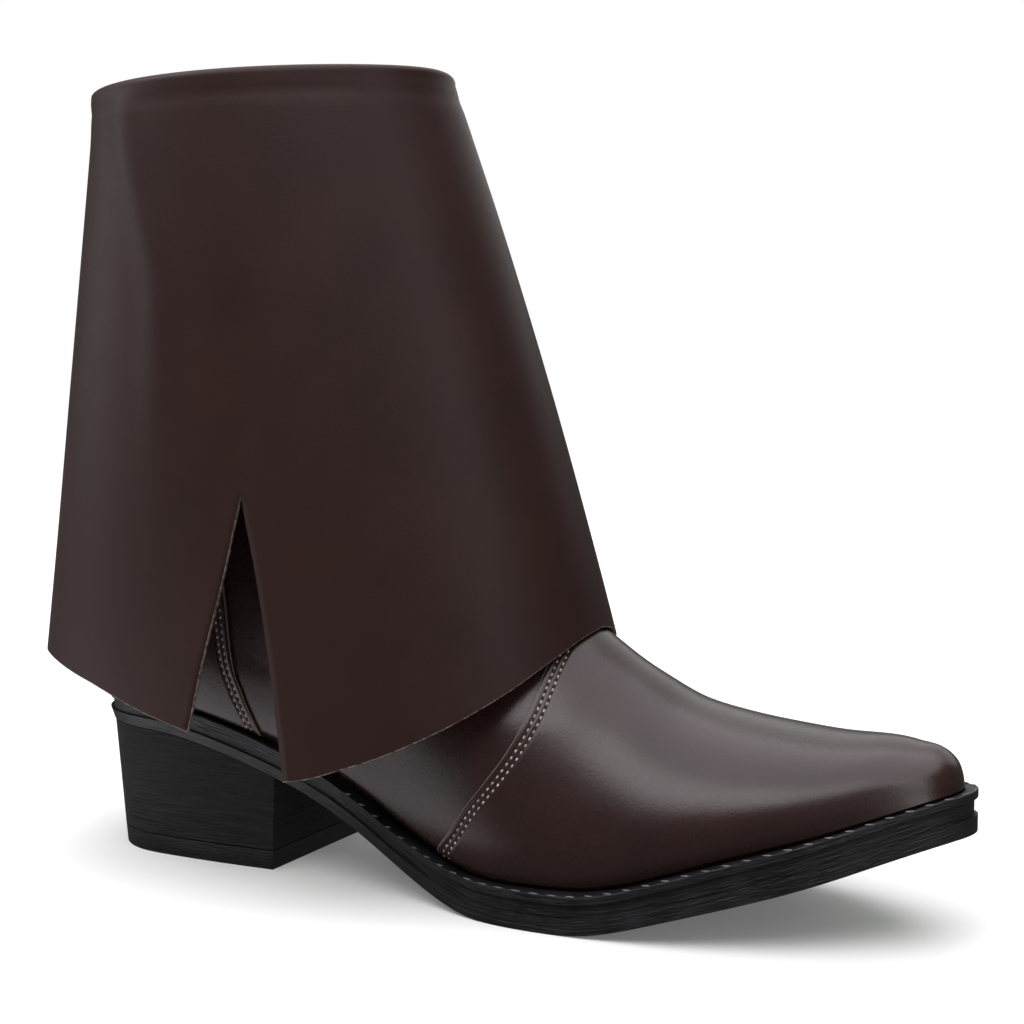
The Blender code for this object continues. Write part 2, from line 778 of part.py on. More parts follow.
def build_upper():
    rings = wall_rings(0.0, RINGS) + wall_rings(-UPPER_WALL, INNER_RINGS)[::-1]
    upper = ring_loft("upper", rings, LEATHER, BOOT, closed=True)
    vamp = skin("vamp_skin", -UPPER_WALL / 2, OVERLAY, between(SKIN_START, VAMP_SKIN_END))
    add_boolean(vamp, side_prism("vamp_edge", VAMP_EDGE, True, TOE_ZONE), "INTERSECT")
    counter = skin("counter_skin", -UPPER_WALL / 2, OVERLAY, between(SKIN_START, COUNTER_SKIN_END))
    add_boolean(counter, side_prism("counter_edge", COUNTER_EDGE, False, TOE_ZONE), "INTERSECT")
    add_boolean(upper, vamp, "UNION")
    add_boolean(upper, counter, "UNION")


def build_welt():
    """A flat strip between the sole's edge and the foot of the upper."""
    inner = [upper_face(turn, 0.0, CLEARANCE) for turn in TURNS]
    outer = []
    for turn in TURNS:
        c = (1 - math.cos(turn)) / 2
        x = foot_x(turn) + (SOLE_BACK + SOLE_LENGTH * c - foot_x(turn)) * abs(2 * c - 1) ** WELT_END_FADE
        side = -1 if turn <= math.pi else 1
        share = along(x)
        outer.append(Vector((x, side_shift(share) + side * half_width(share), 0)))

    def at(points, height):
        return [Vector((p.x, p.y, height(p.x))) for p in points]

    def low(x):
        return midsole_top(x) + CLEARANCE

    rings = [at(outer, low), at(outer, welt_top), at(inner, welt_top), at(inner, low)]
    ring_loft("welt", rings, RUBBER, BOOT, closed=True)


def build_insole():
    """A board inside the upper, on the midsole."""
    inset = -(UPPER_WALL + 2 * CLEARANCE)
    outer = []
    inner = []
    for turn in HALF_TURNS:
        p = upper_face(turn, 0.0, inset)
        q = upper_face((TURN - turn) % TURN, 0.0, inset)
        outer.append((p.x, p.y))
        inner.append((p.x, q.y))
    plate("insole", outer, inner,
          [(0.0, lambda x: midsole_top(x) + CLEARANCE),
           (0.0, lambda x: midsole_top(x) + CLEARANCE + INSOLE_THICKNESS)], LINING)


# The cuff

FOLD_RADIUS = UPPER_WALL / 2 + CLEARANCE + CUFF_THICKNESS / 2
FACING_OFFSET = -(UPPER_WALL + CLEARANCE + CUFF_THICKNESS / 2)


def hem_drop(angle):
    """How far the hem hangs below the fold; angle is 0 at the front, pi at the back."""
    turn = abs(angle) / math.pi
    return CUFF_DEPTH * read(HEM, "outer" if angle >= 0 else "inner", turn)


def skirt_point(angle, drop):
    """Middle of the cuff's leather where it hangs outside the shaft."""
    rim, out = collar_rim(angle)
    share = drop / CUFF_DEPTH
    flare = read(CUFF_LINE, "flare", share)
    point = rim + out * (CLEARANCE + CUFF_THICKNESS / 2)
    point.x += CUFF_LEAN * read(CUFF_LINE, "lean", share) + CUFF_FLARE_LENGTH * flare * math.cos(angle)
    point.y -= CUFF_FLARE_WIDTH * flare * math.sin(angle)
    point.z = SHAFT_HEIGHT - drop
    return point


SLIT_ANGLE = SLIT_TURN * math.pi
SLIT_TOP = hem_drop(SLIT_ANGLE) - SLIT_HEIGHT
CUFF_SHARES = [i / CUFF_COLUMNS for i in range(CUFF_COLUMNS + 1)]


def column_angle(share, fall, drop):
    """Angle of a column, from the slit's front edge round the front and back to its back edge."""
    half_length = COLLAR_LENGTH / 2 + CUFF_FLARE_LENGTH * drop / CUFF_DEPTH
    first = SLIT_ANGLE - SLIT_WIDTH * read(SLIT, "front", fall) / half_length
    last = SLIT_ANGLE + SLIT_WIDTH * read(SLIT, "back", fall) / half_length - TURN
    angle = first + (last - first) * share
    return angle if angle > -math.pi else angle + TURN


def facing_rows(angles):
    """The part turned down inside the shaft, and the fold over its top edge."""
    turns = [(math.pi - angle) % TURN for angle in angles]
    rims = [collar_rim(angle) for angle in angles]
    rows = [[upper_face(turn, ring_at(turn, SHAFT_HEIGHT - FACING_DEPTH), FACING_OFFSET) for turn in turns]]
    rows.append([rim + out * FACING_OFFSET for rim, out in rims])
    for i in range(1, FOLD_STEPS):
        bend = math.pi * (1 - i / FOLD_STEPS)
        sideways = FOLD_RADIUS * math.cos(bend) - UPPER_WALL / 2
        lift = Vector((0, 0, FOLD_RADIUS * math.sin(bend)))
        rows.append([rim + out * sideways + lift for rim, out in rims])
    return rows


def skirt_row(fall):
    """One row beside the slit, from its top at fall 0 to the hem at 1."""
    row = []
    for share in CUFF_SHARES:
        hem = hem_drop(column_angle(share, fall, SLIT_TOP))
        drop = SLIT_TOP + (hem - SLIT_TOP) * fall
        row.append(skirt_point(column_angle(share, fall, drop), drop))
    return row


def build_cuff():
    angles = [column_angle(share, 0.0, SLIT_TOP) for share in CUFF_SHARES[:-1]]
    rows = facing_rows(angles)
    for i in range(CUFF_UPPER_ROWS + 1):
        rows.append([skirt_point(angle, SLIT_TOP * i / CUFF_UPPER_ROWS) for angle in angles])
    work = bmesh.new()
    grid = []
    for row in rows:
        verts = [work.verts.new(point) for point in row]
        grid.append([*verts, verts[0]])
    for i in range(1, CUFF_LOWER_ROWS + 1):
        grid.append([work.verts.new(point) for point in skirt_row(i / CUFF_LOWER_ROWS)])
    for low, high in zip(grid, grid[1:]):
        for i in range(CUFF_COLUMNS):
            work.faces.new((low[i], low[i + 1], high[i + 1], high[i]))
    cuff = new_object("cuff", work, LEATHER, BOOT)
    wall = cuff.modifiers.new("leather", "SOLIDIFY")
    wall.thickness = CUFF_THICKNESS
    wall.offset = 0.0
    wall.use_even_offset = True


build_sole()
build_heel()
build_welt()
build_insole()
build_upper()
build_cuff()
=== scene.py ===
# A right cuffed ankle boot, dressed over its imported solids: metres, +Z up, +X to the toe, +Y to the
# inner side of the foot, with the origin in the middle of the heel's base.

import math

import bpy
import numpy as np
from mathutils import Matrix, Vector


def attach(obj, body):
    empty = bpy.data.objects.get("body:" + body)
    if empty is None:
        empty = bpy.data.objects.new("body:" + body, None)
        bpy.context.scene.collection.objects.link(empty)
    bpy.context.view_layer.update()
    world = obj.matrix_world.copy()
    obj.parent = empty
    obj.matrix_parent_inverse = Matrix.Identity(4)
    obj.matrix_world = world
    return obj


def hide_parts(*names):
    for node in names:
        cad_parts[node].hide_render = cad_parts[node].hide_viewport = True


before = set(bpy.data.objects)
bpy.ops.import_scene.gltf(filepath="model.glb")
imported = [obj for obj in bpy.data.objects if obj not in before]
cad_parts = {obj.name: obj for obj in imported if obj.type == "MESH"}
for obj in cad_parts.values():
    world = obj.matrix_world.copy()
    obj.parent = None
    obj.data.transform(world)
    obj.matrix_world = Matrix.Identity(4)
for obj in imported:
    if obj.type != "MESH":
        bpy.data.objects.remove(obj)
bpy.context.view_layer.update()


# Outsole: the lower layer of the sole, die-cut from black composition rubber and bent over the last.
# Its side shows as a smooth black band, and the light catches the top edge where the next layer steps in.

SOLE_LENGTH = 0.2774
BALL_WIDTH = 0.0818
HEEL_WIDTH = 0.0564
SOLE_BACK = -0.0390
SOLE_FRONT = SOLE_BACK + SOLE_LENGTH
TOE_SWING = 0.0023
WAIST_HOLLOW = 0.0028
TOE_SPRING = 0.0284
SEAT_HEIGHT = 0.0370
OUTSOLE_BACK = 0.0035
OUTSOLE_FRONT = 0.0045
OUTSOLE_FROM = 0.412
OUTSOLE_TO = 0.550
OUTSOLE_EDGE = 0.0008
SEAT_UNDERCUT = 0.0011
UNDERCUT_FROM = 0.22
UNDERCUT_TO = 0.40
LAYER_GAP = 0.0003
WIDTH_EASE = 0.030
SWING_EASE = 0.040
TREAD_EASE = 0.026


def columns(names, *rows):
    """A table as one array for each named column."""
    return dict(zip(names.split(), (np.array(column) for column in zip(*rows))))


def through(xs, ys):
    """Monotone cubic through the points, level past both ends, as a function of an array."""
    rise = np.diff(ys) / np.diff(xs)
    both = rise[:-1] * rise[1:]
    total = np.where(both > 0, rise[:-1] + rise[1:], 1.0)
    slope = np.concatenate([rise[:1], np.where(both > 0, 2 * both / total, 0.0), rise[-1:]])

    def at(x):
        x = np.clip(x, xs[0], xs[-1])
        i = np.clip(np.searchsorted(xs, x, side="right") - 1, 0, len(xs) - 2)
        width = xs[i + 1] - xs[i]
        u = (x - xs[i]) / width
        return (ys[i] * (1 + 2 * u) * (1 - u) ** 2 + ys[i + 1] * u * u * (3 - 2 * u)
                + slope[i] * width * u * (1 - u) ** 2 - slope[i + 1] * width * u * u * (1 - u))
    return at


def eased(curve, spread):
    """The same curve averaged over a short reach, so that no point of its table shows as a corner."""
    steps = np.linspace(-2.0, 2.0, 9)
    weights = np.exp(-steps ** 2) / np.exp(-steps ** 2).sum()
    places = np.linspace(-0.3, 1.3, 3201)
    heights = sum(weight * curve(places + spread * step) for weight, step in zip(weights, steps))
    return lambda x: np.interp(x, places, heights)


def blend(low, high, x):
    """A smooth step from 0 at low to 1 at high."""
    u = np.clip((x - low) / (high - low), 0.0, 1.0)
    return u * u * (3 - 2 * u)


OUTLINE = columns(
    "along heel ball swing waist",
    (0.012, 0.232, 0.000, 0.00, 0.00),
    (0.022, 0.307, 0.000, 0.00, 0.00),
    (0.045, 0.414, 0.000, 0.00, 0.00),
    (0.072, 0.475, 0.000, 0.00, 0.00),
    (0.105, 0.495, 0.000, 0.00, 0.00),
    (0.139, 0.500, 0.000, 0.00, 0.00),
    (0.232, 0.500, 0.000, 0.00, 0.00),
    (0.282, 0.490, 0.000, 0.00, 0.13),
    (0.349, 0.340, 0.103, 0.00, 0.72),
    (0.416, 0.150, 0.253, 0.00, 0.88),
    (0.483, 0.030, 0.388, 0.00, 1.02),
    (0.550, 0.000, 0.470, 0.00, 1.22),
    (0.600, 0.000, 0.493, 0.00, 1.00),
    (0.650, 0.000, 0.500, 0.00, 0.62),
    (0.701, 0.000, 0.498, 0.00, 0.31),
    (0.752, 0.000, 0.484, 0.05, 0.06),
    (0.802, 0.000, 0.448, 0.35, 0.00),
    (0.859, 0.000, 0.391, 0.66, 0.00),
    (0.909, 0.000, 0.307, 1.00, 0.00),
    (0.960, 0.000, 0.196, 0.92, 0.00),
    (0.986, 0.000, 0.114, 0.60, 0.00))
UNDERSIDE = columns(
    "along seat spring",
    (0.000, 1.085, 0.000),
    (0.060, 1.080, 0.000),
    (0.120, 1.063, 0.000),
    (0.150, 1.030, 0.000),
    (0.178, 0.988, 0.000),
    (0.205, 0.940, 0.000),
    (0.232, 0.882, 0.000),
    (0.268, 0.800, 0.000),
    (0.316, 0.690, 0.000),
    (0.349, 0.590, 0.000),
    (0.386, 0.462, 0.000),
    (0.413, 0.345, 0.000),
    (0.440, 0.240, 0.000),
    (0.466, 0.152, 0.000),
    (0.493, 0.078, 0.000),
    (0.516, 0.030, 0.000),
    (0.537, 0.000, 0.000),
    (0.644, 0.000, 0.000),
    (0.681, 0.000, 0.062),
    (0.728, 0.000, 0.203),
    (0.774, 0.000, 0.340),
    (0.819, 0.000, 0.470),
    (0.862, 0.000, 0.602),
    (0.902, 0.000, 0.740),
    (0.943, 0.000, 0.890),
    (1.000, 0.000, 1.070))


def unit_oval(share):
    return 2.0 * np.sqrt(np.clip(share * (1.0 - share), 0.0, None))


half_widths = HEEL_WIDTH * OUTLINE["heel"] + BALL_WIDTH * OUTLINE["ball"]
swings = TOE_SWING * OUTLINE["swing"] - WAIST_HOLLOW * OUTLINE["waist"]
treads = SEAT_HEIGHT * UNDERSIDE["seat"] + TOE_SPRING * UNDERSIDE["spring"]
width_in_ovals = eased(through(OUTLINE["along"], half_widths / unit_oval(OUTLINE["along"])), WIDTH_EASE)
swing_at = eased(through(OUTLINE["along"], swings), SWING_EASE)
tread_at = eased(through(UNDERSIDE["along"], treads), TREAD_EASE)


def half_width(share):
    return width_in_ovals(share) * unit_oval(share)


def along(x):
    return (x - SOLE_BACK) / SOLE_LENGTH


def underside(x):
    return tread_at(along(x))


def outsole_top(x):
    thicker = blend(OUTSOLE_FROM, OUTSOLE_TO, along(x))
    return underside(x) + OUTSOLE_BACK + (OUTSOLE_FRONT - OUTSOLE_BACK) * thicker


def grid_sheet(name, across, up):
    """Add a flat grid to be shaped."""
    bpy.ops.object.select_all(action="DESELECT")
    bpy.ops.mesh.primitive_grid_add(x_subdivisions=across, y_subdivisions=up, size=2.0)
    piece = bpy.context.object
    piece.name = name
    piece.data.name = name
    return piece


def shares_of(piece):
    """Each vertex's two shares of the flat grid, from 0 to 1, and its level, 1 where it was extruded."""
    flat = np.empty(3 * len(piece.data.vertices))
    piece.data.vertices.foreach_get("co", flat)
    return flat[0::3] / 2 + 0.5, flat[1::3] / 2 + 0.5, flat[2::3]


def lay(piece, points):
    piece.data.vertices.foreach_set("co", np.asarray(points, float).ravel())
    piece.data.update()


def choose(piece):
    """Select the piece alone and make it the active one."""
    bpy.ops.object.select_all(action="DESELECT")
    piece.select_set(True)
    bpy.context.view_layer.objects.active = piece


def edit(piece):
    """Open the piece for editing, all of it selected."""
    choose(piece)
    bpy.ops.object.mode_set(mode="EDIT")
    bpy.ops.mesh.select_all(action="SELECT")


def plate(name, across, up):
    """A grid sheet extruded to a second level, with its shares and levels."""
    piece = grid_sheet(name, across, up)
    edit(piece)
    bpy.ops.mesh.extrude_region_move(TRANSFORM_OT_translate={"value": (0, 0, 1)})
    bpy.ops.object.mode_set(mode="OBJECT")
    return piece, *shares_of(piece)


def close_up(piece, angle):
    """Merge what meets, turn the faces outwards and shade the piece smooth."""
    edit(piece)
    bpy.ops.mesh.remove_doubles(threshold=0.00001)
    bpy.ops.mesh.normals_make_consistent(inside=False)
    bpy.ops.object.mode_set(mode="OBJECT")
    bpy.ops.object.shade_smooth_by_angle(angle=math.radians(angle))


def modify(piece, kind, **settings):
    """Add a modifier with its settings and apply it."""
    choose(piece)
    made = piece.modifiers.new(kind.lower(), kind)
    for key, value in settings.items():
        setattr(made, key, value)
    bpy.ops.object.modifier_apply(modifier=made.name)


def trim(piece, edge, sharp, low):
    """Close up a plate, bevel the edges that turn by more than the sharp angle, and lay a UV map in metres
    over it for the grain: along the boot, and up from the lower face."""
    close_up(piece, 50)
    modify(piece, "BEVEL", width=edge, segments=2, limit_method="ANGLE", angle_limit=math.radians(sharp))
    bpy.ops.object.shade_smooth_by_angle(angle=math.radians(35))
    while piece.data.uv_layers:
        piece.data.uv_layers.remove(piece.data.uv_layers[0])
    layer = piece.data.uv_layers.new(name="grain")
    for corner in piece.data.loops:
        co = piece.data.vertices[corner.vertex_index].co
        layer.data[corner.index].uv = (co.x + 0.6 * co.y, co.z - float(low(co.x)))


def sole_layer(name, low, high, inset, edge, undercut=0.0):
    """A plate with the sole's outline, laid between two heights, its edges rounded. An undercut draws
    its lower face in round the heel seat, to meet the block."""
    piece, u, v, level = plate(name, 150, 8)
    share = (1 - np.cos(math.pi * u)) / 2
    drawn = undercut * (1 - blend(UNDERCUT_FROM, UNDERCUT_TO, share)) * (level < 0.5)
    x = SOLE_BACK + inset + (SOLE_LENGTH - 2 * inset) * share + drawn * (1 - share) ** 8
    half = half_width(share) * (1 - 2 * inset / BALL_WIDTH) * (1 - 2 * drawn / HEEL_WIDTH)
    y = swing_at(share) + (2 * v - 1) * half
    lay(piece, np.stack([x, y, np.where(level > 0.5, high(x), low(x))], axis=1))
    trim(piece, edge, 60, underside)
    return piece


def give_finish(piece, *finish):
    for each in finish:
        piece.data.materials.append(each)


def put_on(piece, slot, *nodes):
    """Fix a finished piece to the boot's body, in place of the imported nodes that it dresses, if any."""
    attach(piece, "root")
    if nodes:
        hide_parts(*nodes)


def linear(code):
    """An sRGB hex value as linear red, green, blue and a full alpha."""
    shares = [int(code[i:i + 2], 16) / 255 for i in (1, 3, 5)]
    return (*[s / 12.92 if s <= 0.04045 else ((s + 0.055) / 1.055) ** 2.4 for s in shares], 1.0)


def new_material(name):
    made = bpy.data.materials.new(name)
    made.use_nodes = True
    return made, made.node_tree, made.node_tree.nodes["Principled BSDF"]


def add_node(tree, kind, settings, links=()):
    """Add a node: settings are its own fields, its sockets' values or a ramp's stops, which are (place,
    colour) pairs, and links are (socket, source) pairs."""
    made = tree.nodes.new(kind)
    for key, value in settings.items():
        if key == "stops":
            for stop, (at, code) in zip(made.color_ramp.elements, value):
                stop.position = at
                stop.color = linear(code)
        elif isinstance(key, int) or key in made.inputs:
            made.inputs[key].default_value = value
        else:
            setattr(made, key, value)
    for key, source in links:
        tree.links.new(source, made.inputs[key])
    return made


# Black composition rubber made to look like stacked leather: satin, with ragged lines along the edge
# that stand about 0.6 mm apart.
sole_rubber, tree, shader = new_material("sole_rubber")
place = add_node(tree, "ShaderNodeTexCoord", {})
stretch = add_node(tree, "ShaderNodeMapping", {"Scale": (110.0, 1300.0, 1.0)},
                   [("Vector", place.outputs["UV"])])
scuff = add_node(tree, "ShaderNodeTexNoise", {"Scale": 1.0, "Detail": 2.5, "Roughness": 0.6},
                 [("Vector", stretch.outputs["Vector"])])
patch = add_node(tree, "ShaderNodeTexNoise", {"Scale": 110.0, "Detail": 4.0, "Roughness": 0.6},
                 [("Vector", place.outputs["Object"])])
tone = add_node(tree, "ShaderNodeValToRGB", {"stops": ((0.35, "#0b0b0c"), (0.75, "#151517"))},
                [("Fac", patch.outputs["Fac"])])
gloss = add_node(tree, "ShaderNodeMapRange", {"From Min": 0.3, "From Max": 0.75, "To Min": 0.40,
                                              "To Max": 0.60}, [("Value", patch.outputs["Fac"])])
relief = add_node(tree, "ShaderNodeBump", {"Strength": 0.9, "Distance": 0.0005},
                  [("Height", scuff.outputs["Fac"])])
tree.links.new(tone.outputs["Color"], shader.inputs["Base Color"])
tree.links.new(gloss.outputs["Result"], shader.inputs["Roughness"])
tree.links.new(relief.outputs["Normal"], shader.inputs["Normal"])
shader.inputs["Specular IOR Level"].default_value = 0.32

outsole = sole_layer("outsole_rubber", underside, outsole_top, 0.0, OUTSOLE_EDGE, SEAT_UNDERCUT)
give_finish(outsole, sole_rubber)
put_on(outsole, "sole", "outsole")


# Midsole: the thinner layer above, cut a little inside the outsole so that its edge steps in, and
# stained black with it once the two are cemented and pressed.

MIDSOLE_INSET = 0.0010
MIDSOLE_EDGE = 0.0003
MIDSOLE_HEEL = 0.0029
MIDSOLE_WAIST = 0.0022
MIDSOLE_BALL = 0.0033
MIDSOLE_TOE = 0.0041

MIDSOLE = columns(
    "along heel waist ball toe",
    (0.240, 1.0, 0.0, 0.0, 0.0),
    (0.360, 0.0, 1.0, 0.0, 0.0),
    (0.412, 0.0, 1.0, 0.0, 0.0),
    (0.550, 0.0, 0.0, 1.0, 0.0),
    (0.680, 0.0, 0.0, 1.0, 0.0),
    (0.820, 0.0, 0.0, 0.0, 1.0))
depths = (MIDSOLE_HEEL * MIDSOLE["heel"] + MIDSOLE_WAIST * MIDSOLE["waist"]
          + MIDSOLE_BALL * MIDSOLE["ball"] + MIDSOLE_TOE * MIDSOLE["toe"])
midsole_at = through(MIDSOLE["along"], depths)


def midsole_top(x):
    return outsole_top(x) + LAYER_GAP + midsole_at(along(x))


midsole = sole_layer("midsole_rubber", outsole_top, midsole_top, MIDSOLE_INSET, MIDSOLE_EDGE)
give_finish(midsole, sole_rubber)
put_on(midsole, "sole", "midsole")


# Shaft and quarters: one wall of smooth brown calf from the welt to the collar, lined with textile. It
# is stretched over the last, and its lower edge is drawn in under the insole and cemented.

# The last's rings run from the welt to the collar. Each one is walked round from the back, along the
# outer side, to the toe and back on the inner side.
WELT_THICKNESS = 0.0022
WELT_MARGIN_TOE = 0.0052
WELT_MARGIN_HEEL = 0.0019
WELT_MARGIN_BALL = 0.0056
FOOT_BACK = SOLE_BACK + WELT_MARGIN_HEEL
FOOT_FRONT = SOLE_FRONT - WELT_MARGIN_TOE
LIP_RISE = 0.0010
TOE_DEPTH = 0.0140
INSTEP_RISE = 0.0703
RIDGE_SHIFT = 0.0030
SIDE_BULGE = 0.0014
SIDE_BULGE_RISE = 0.0090
HEEL_BULGE = 0.0028
ANKLE_HOLLOW = 0.0065
ANKLE_WIDTH = 0.0600
SHAFT_HEIGHT = 0.2350
COLLAR_LENGTH = 0.1192
COLLAR_WIDTH = 0.0734
COLLAR_MIDDLE = SOLE_BACK + 0.0586
COLLAR_BACK = COLLAR_MIDDLE - COLLAR_LENGTH / 2
COLLAR_FRONT = COLLAR_MIDDLE + COLLAR_LENGTH / 2
UPPER_WALL = 0.0017
TOE_RING = 0.120
INSTEP_RING = 0.640
TOE_ZONE = 0.045
TOE_RUNOUT = 0.01
TOE_RUNOUT_FALL = 0.06
DOME_POWER = 2.0
TOE_DOME_POWER = 2.7
TOE_DOME_FROM = 0.55
TOE_DOME_TO = 0.95
SHAFT_FROM = 0.34
SHAFT_TO = 0.72

MARGIN = columns(
    "along share",
    (0.00, 0.45),
    (0.28, 0.48),
    (0.40, 0.64),
    (0.56, 0.62),
    (0.68, 1.00),
    (0.88, 1.00),
    (1.00, 0.70))
VAMP = columns(
    "ring along toe rise",
    (0.000, 0.9840, 0.00, 0.000),
    (0.030, 0.9865, 0.20, 0.000),
    (0.060, 0.9841, 0.46, 0.000),
    (0.090, 0.9740, 0.76, 0.000),
    (0.120, 0.9588, 1.00, 0.000),
    (0.170, 0.9219, 1.00, 0.063),
    (0.220, 0.8783, 1.00, 0.120),
    (0.280, 0.8278, 1.00, 0.187),
    (0.340, 0.7744, 1.00, 0.270),
    (0.400, 0.7208, 1.00, 0.372),
    (0.460, 0.6705, 1.00, 0.525),
    (0.520, 0.6227, 1.00, 0.678),
    (0.580, 0.5777, 1.00, 0.816),
    (0.640, 0.5363, 1.00, 1.000))
SHIN = columns(
    "ring draw rise",
    (0.640, 0.000, 0.000),
    (0.700, 0.330, 0.106),
    (0.760, 0.596, 0.243),
    (0.820, 0.768, 0.407),
    (0.880, 0.878, 0.592),
    (0.940, 0.956, 0.791),
    (1.000, 1.000, 1.000))
# What the finished leather lies above or below the last along the ridge, in metres.
DRESSING = columns(
    "ring lift",
    (0.000, 0.0000),
    (0.030, -0.0005),
    (0.060, -0.0011),
    (0.120, -0.0018),
    (0.220, -0.0018),
    (0.280, -0.0011),
    (0.340, -0.0003),
    (0.400, 0.0008),
    (0.440, 0.0012),
    (0.500, 0.0006),
    (0.560, 0.0000))
BACK = columns(
    "ring set bulge hollow rise",
    (0.000, 0.00, 0.00, 0.00, 0.000),
    (0.060, 0.00, 0.50, 0.00, 0.017),
    (0.120, 0.00, 0.85, 0.00, 0.042),
    (0.220, 0.00, 1.00, 0.00, 0.076),
    (0.340, 0.00, 0.95, 0.12, 0.116),
    (0.460, 0.05, 0.70, 0.40, 0.155),
    (0.580, 0.12, 0.35, 0.75, 0.214),
    (0.700, 0.30, 0.10, 1.00, 0.313),
    (0.760, 0.40, 0.00, 1.00, 0.411),
    (0.820, 0.55, 0.00, 0.80, 0.539),
    (0.880, 0.72, 0.00, 0.50, 0.682),
    (0.940, 0.87, 0.00, 0.20, 0.835),
    (1.000, 1.00, 0.00, 0.00, 1.000))
SHAFT = columns(
    "ring girth",
    (0.350, 0.05),
    (0.600, 0.00),
    (0.700, 0.06),
    (0.760, 0.20),
    (0.820, 0.42),
    (0.880, 0.64),
    (0.940, 0.83),
    (1.000, 1.00))


def reader(table, column):
    return through(table[next(iter(table))], table[column])


margin_at = reader(MARGIN, "share")
vamp_along = reader(VAMP, "along")
vamp_toe = reader(VAMP, "toe")
vamp_rise = reader(VAMP, "rise")
shin_draw = reader(SHIN, "draw")
shin_rise = reader(SHIN, "rise")
back_set = reader(BACK, "set")
back_bulge = reader(BACK, "bulge")
back_hollow = reader(BACK, "hollow")
back_rise = reader(BACK, "rise")
girth_at = reader(SHAFT, "girth")
dressing_at = reader(DRESSING, "lift")


def welt_top(x):
    return midsole_top(x) + LAYER_GAP + WELT_THICKNESS


def lip(x):
    return welt_top(x) + LIP_RISE


def vamp_line(ring):
    x = FOOT_FRONT + SOLE_LENGTH * (vamp_along(ring) - VAMP["along"][0])
    return x, lip(x) + TOE_DEPTH * vamp_toe(ring) + INSTEP_RISE * vamp_rise(ring) + dressing_at(ring)


def front_line(ring):
    x, z = vamp_line(np.minimum(ring, INSTEP_RING))
    return x + (COLLAR_FRONT - x) * shin_draw(ring), z + (SHAFT_HEIGHT - z) * shin_rise(ring)


def back_line(ring):
    x = FOOT_BACK + (COLLAR_BACK - FOOT_BACK) * back_set(ring)
    x = x + ANKLE_HOLLOW * back_hollow(ring) - HEEL_BULGE * back_bulge(ring)
    z = lip(FOOT_BACK)
    return x, z + (SHAFT_HEIGHT - z) * back_rise(ring)


ridge_x, ridge_z = front_line(np.linspace(1.0, TOE_RING, 61))
ridge_at = through(np.append(ridge_x, FOOT_FRONT + TOE_RUNOUT * SOLE_LENGTH),
                   np.append(ridge_z, ridge_z[-1] - TOE_RUNOUT_FALL * TOE_DEPTH))
wall_x, wall_z = front_line(np.linspace(0.0, TOE_RING, 17))
wall_at = through(wall_z - wall_z[0], wall_x)


def foot_half_width(x):
    share = (x - FOOT_BACK) / (FOOT_FRONT - FOOT_BACK)
    return half_width(share) * (1 - 2 * WELT_MARGIN_BALL * margin_at(share) / BALL_WIDTH)


def last_at(turn, ring):
    """Points of the upper's outer face; turn is 0 at the back, pi at the toe, and grows on round."""
    front_x, front_z = front_line(ring)
    back_x, back_z = back_line(ring)
    c = (1 - np.cos(turn)) / 2
    x = back_x + (front_x - back_x) * c
    z = back_z + (front_z - back_z) * c
    chord = lip(FOOT_BACK) + (lip(FOOT_FRONT) - lip(FOOT_BACK)) * c
    foot_x = FOOT_BACK + (FOOT_FRONT - FOOT_BACK) * c
    z = z + (lip(foot_x) - chord) * np.maximum(0.0, 1 - ring / INSTEP_RING) ** 1.5
    low = lip(x)
    rise = np.clip((z - low) / np.maximum(ridge_at(x) - low, 1e-6), 0.0, 1.0)
    wall = wall_at(z - lip(FOOT_FRONT))
    zone = FOOT_FRONT - TOE_ZONE
    near = np.clip((x - zone) / np.maximum(wall - zone, 1e-6), 0.0, 1.0)
    place = x + (FOOT_FRONT - wall) * near * near + (FOOT_BACK - back_x) * (1 - c) ** 3
    power = DOME_POWER + (TOE_DOME_POWER - DOME_POWER) * blend(TOE_DOME_FROM, TOE_DOME_TO, along(x))
    dome = np.sqrt(np.maximum(0.0, 1 - rise ** power))
    swell = np.maximum(0.0, z - low) / SIDE_BULGE_RISE
    wide = foot_half_width(place) * dome * (1 + 2 * SIDE_BULGE / BALL_WIDTH * swell * np.exp(1 - swell))
    girth = (ANKLE_WIDTH + (COLLAR_WIDTH - ANKLE_WIDTH) * girth_at(ring)) / 2
    shaft = blend(SHAFT_FROM, SHAFT_TO, ring)
    half = wide * (1 - shaft) + girth * np.abs(np.sin(turn)) * shaft
    swing = swing_at((x - FOOT_BACK) / (FOOT_FRONT - FOOT_BACK)) + RIDGE_SHIFT * rise * rise
    side = np.where(np.sin(turn) >= 0, -1.0, 1.0)
    return np.stack(np.broadcast_arrays(x, swing * (1 - shaft) + side * half, z), axis=-1)


def last_normal(turn, ring, step=0.012):
    """Outward directions of the upper's face, from points a small step round and up."""
    high = np.clip(ring + step / 2, step, 1.0)
    around = last_at(turn + step, ring) - last_at(turn - step, ring)
    around[..., 1] -= 1e-7 * np.cos(turn)
    up = last_at(turn, high) - last_at(turn, high - step)
    out = np.cross(around, up)
    return out / np.linalg.norm(out, axis=-1, keepdims=True)


# The leather turns in under its lower edge, further at the waist, where it leaves a dark gap.
TUCK = 0.0005
TUCK_WAIST = 0.0028
TUCK_RISE = 0.0045
WAIST_AT = 0.43
WAIST_REACH = 0.12
TOE_SPREAD = 0.0020
SPREAD_FROM = 0.78
SPREAD_TO = 0.97


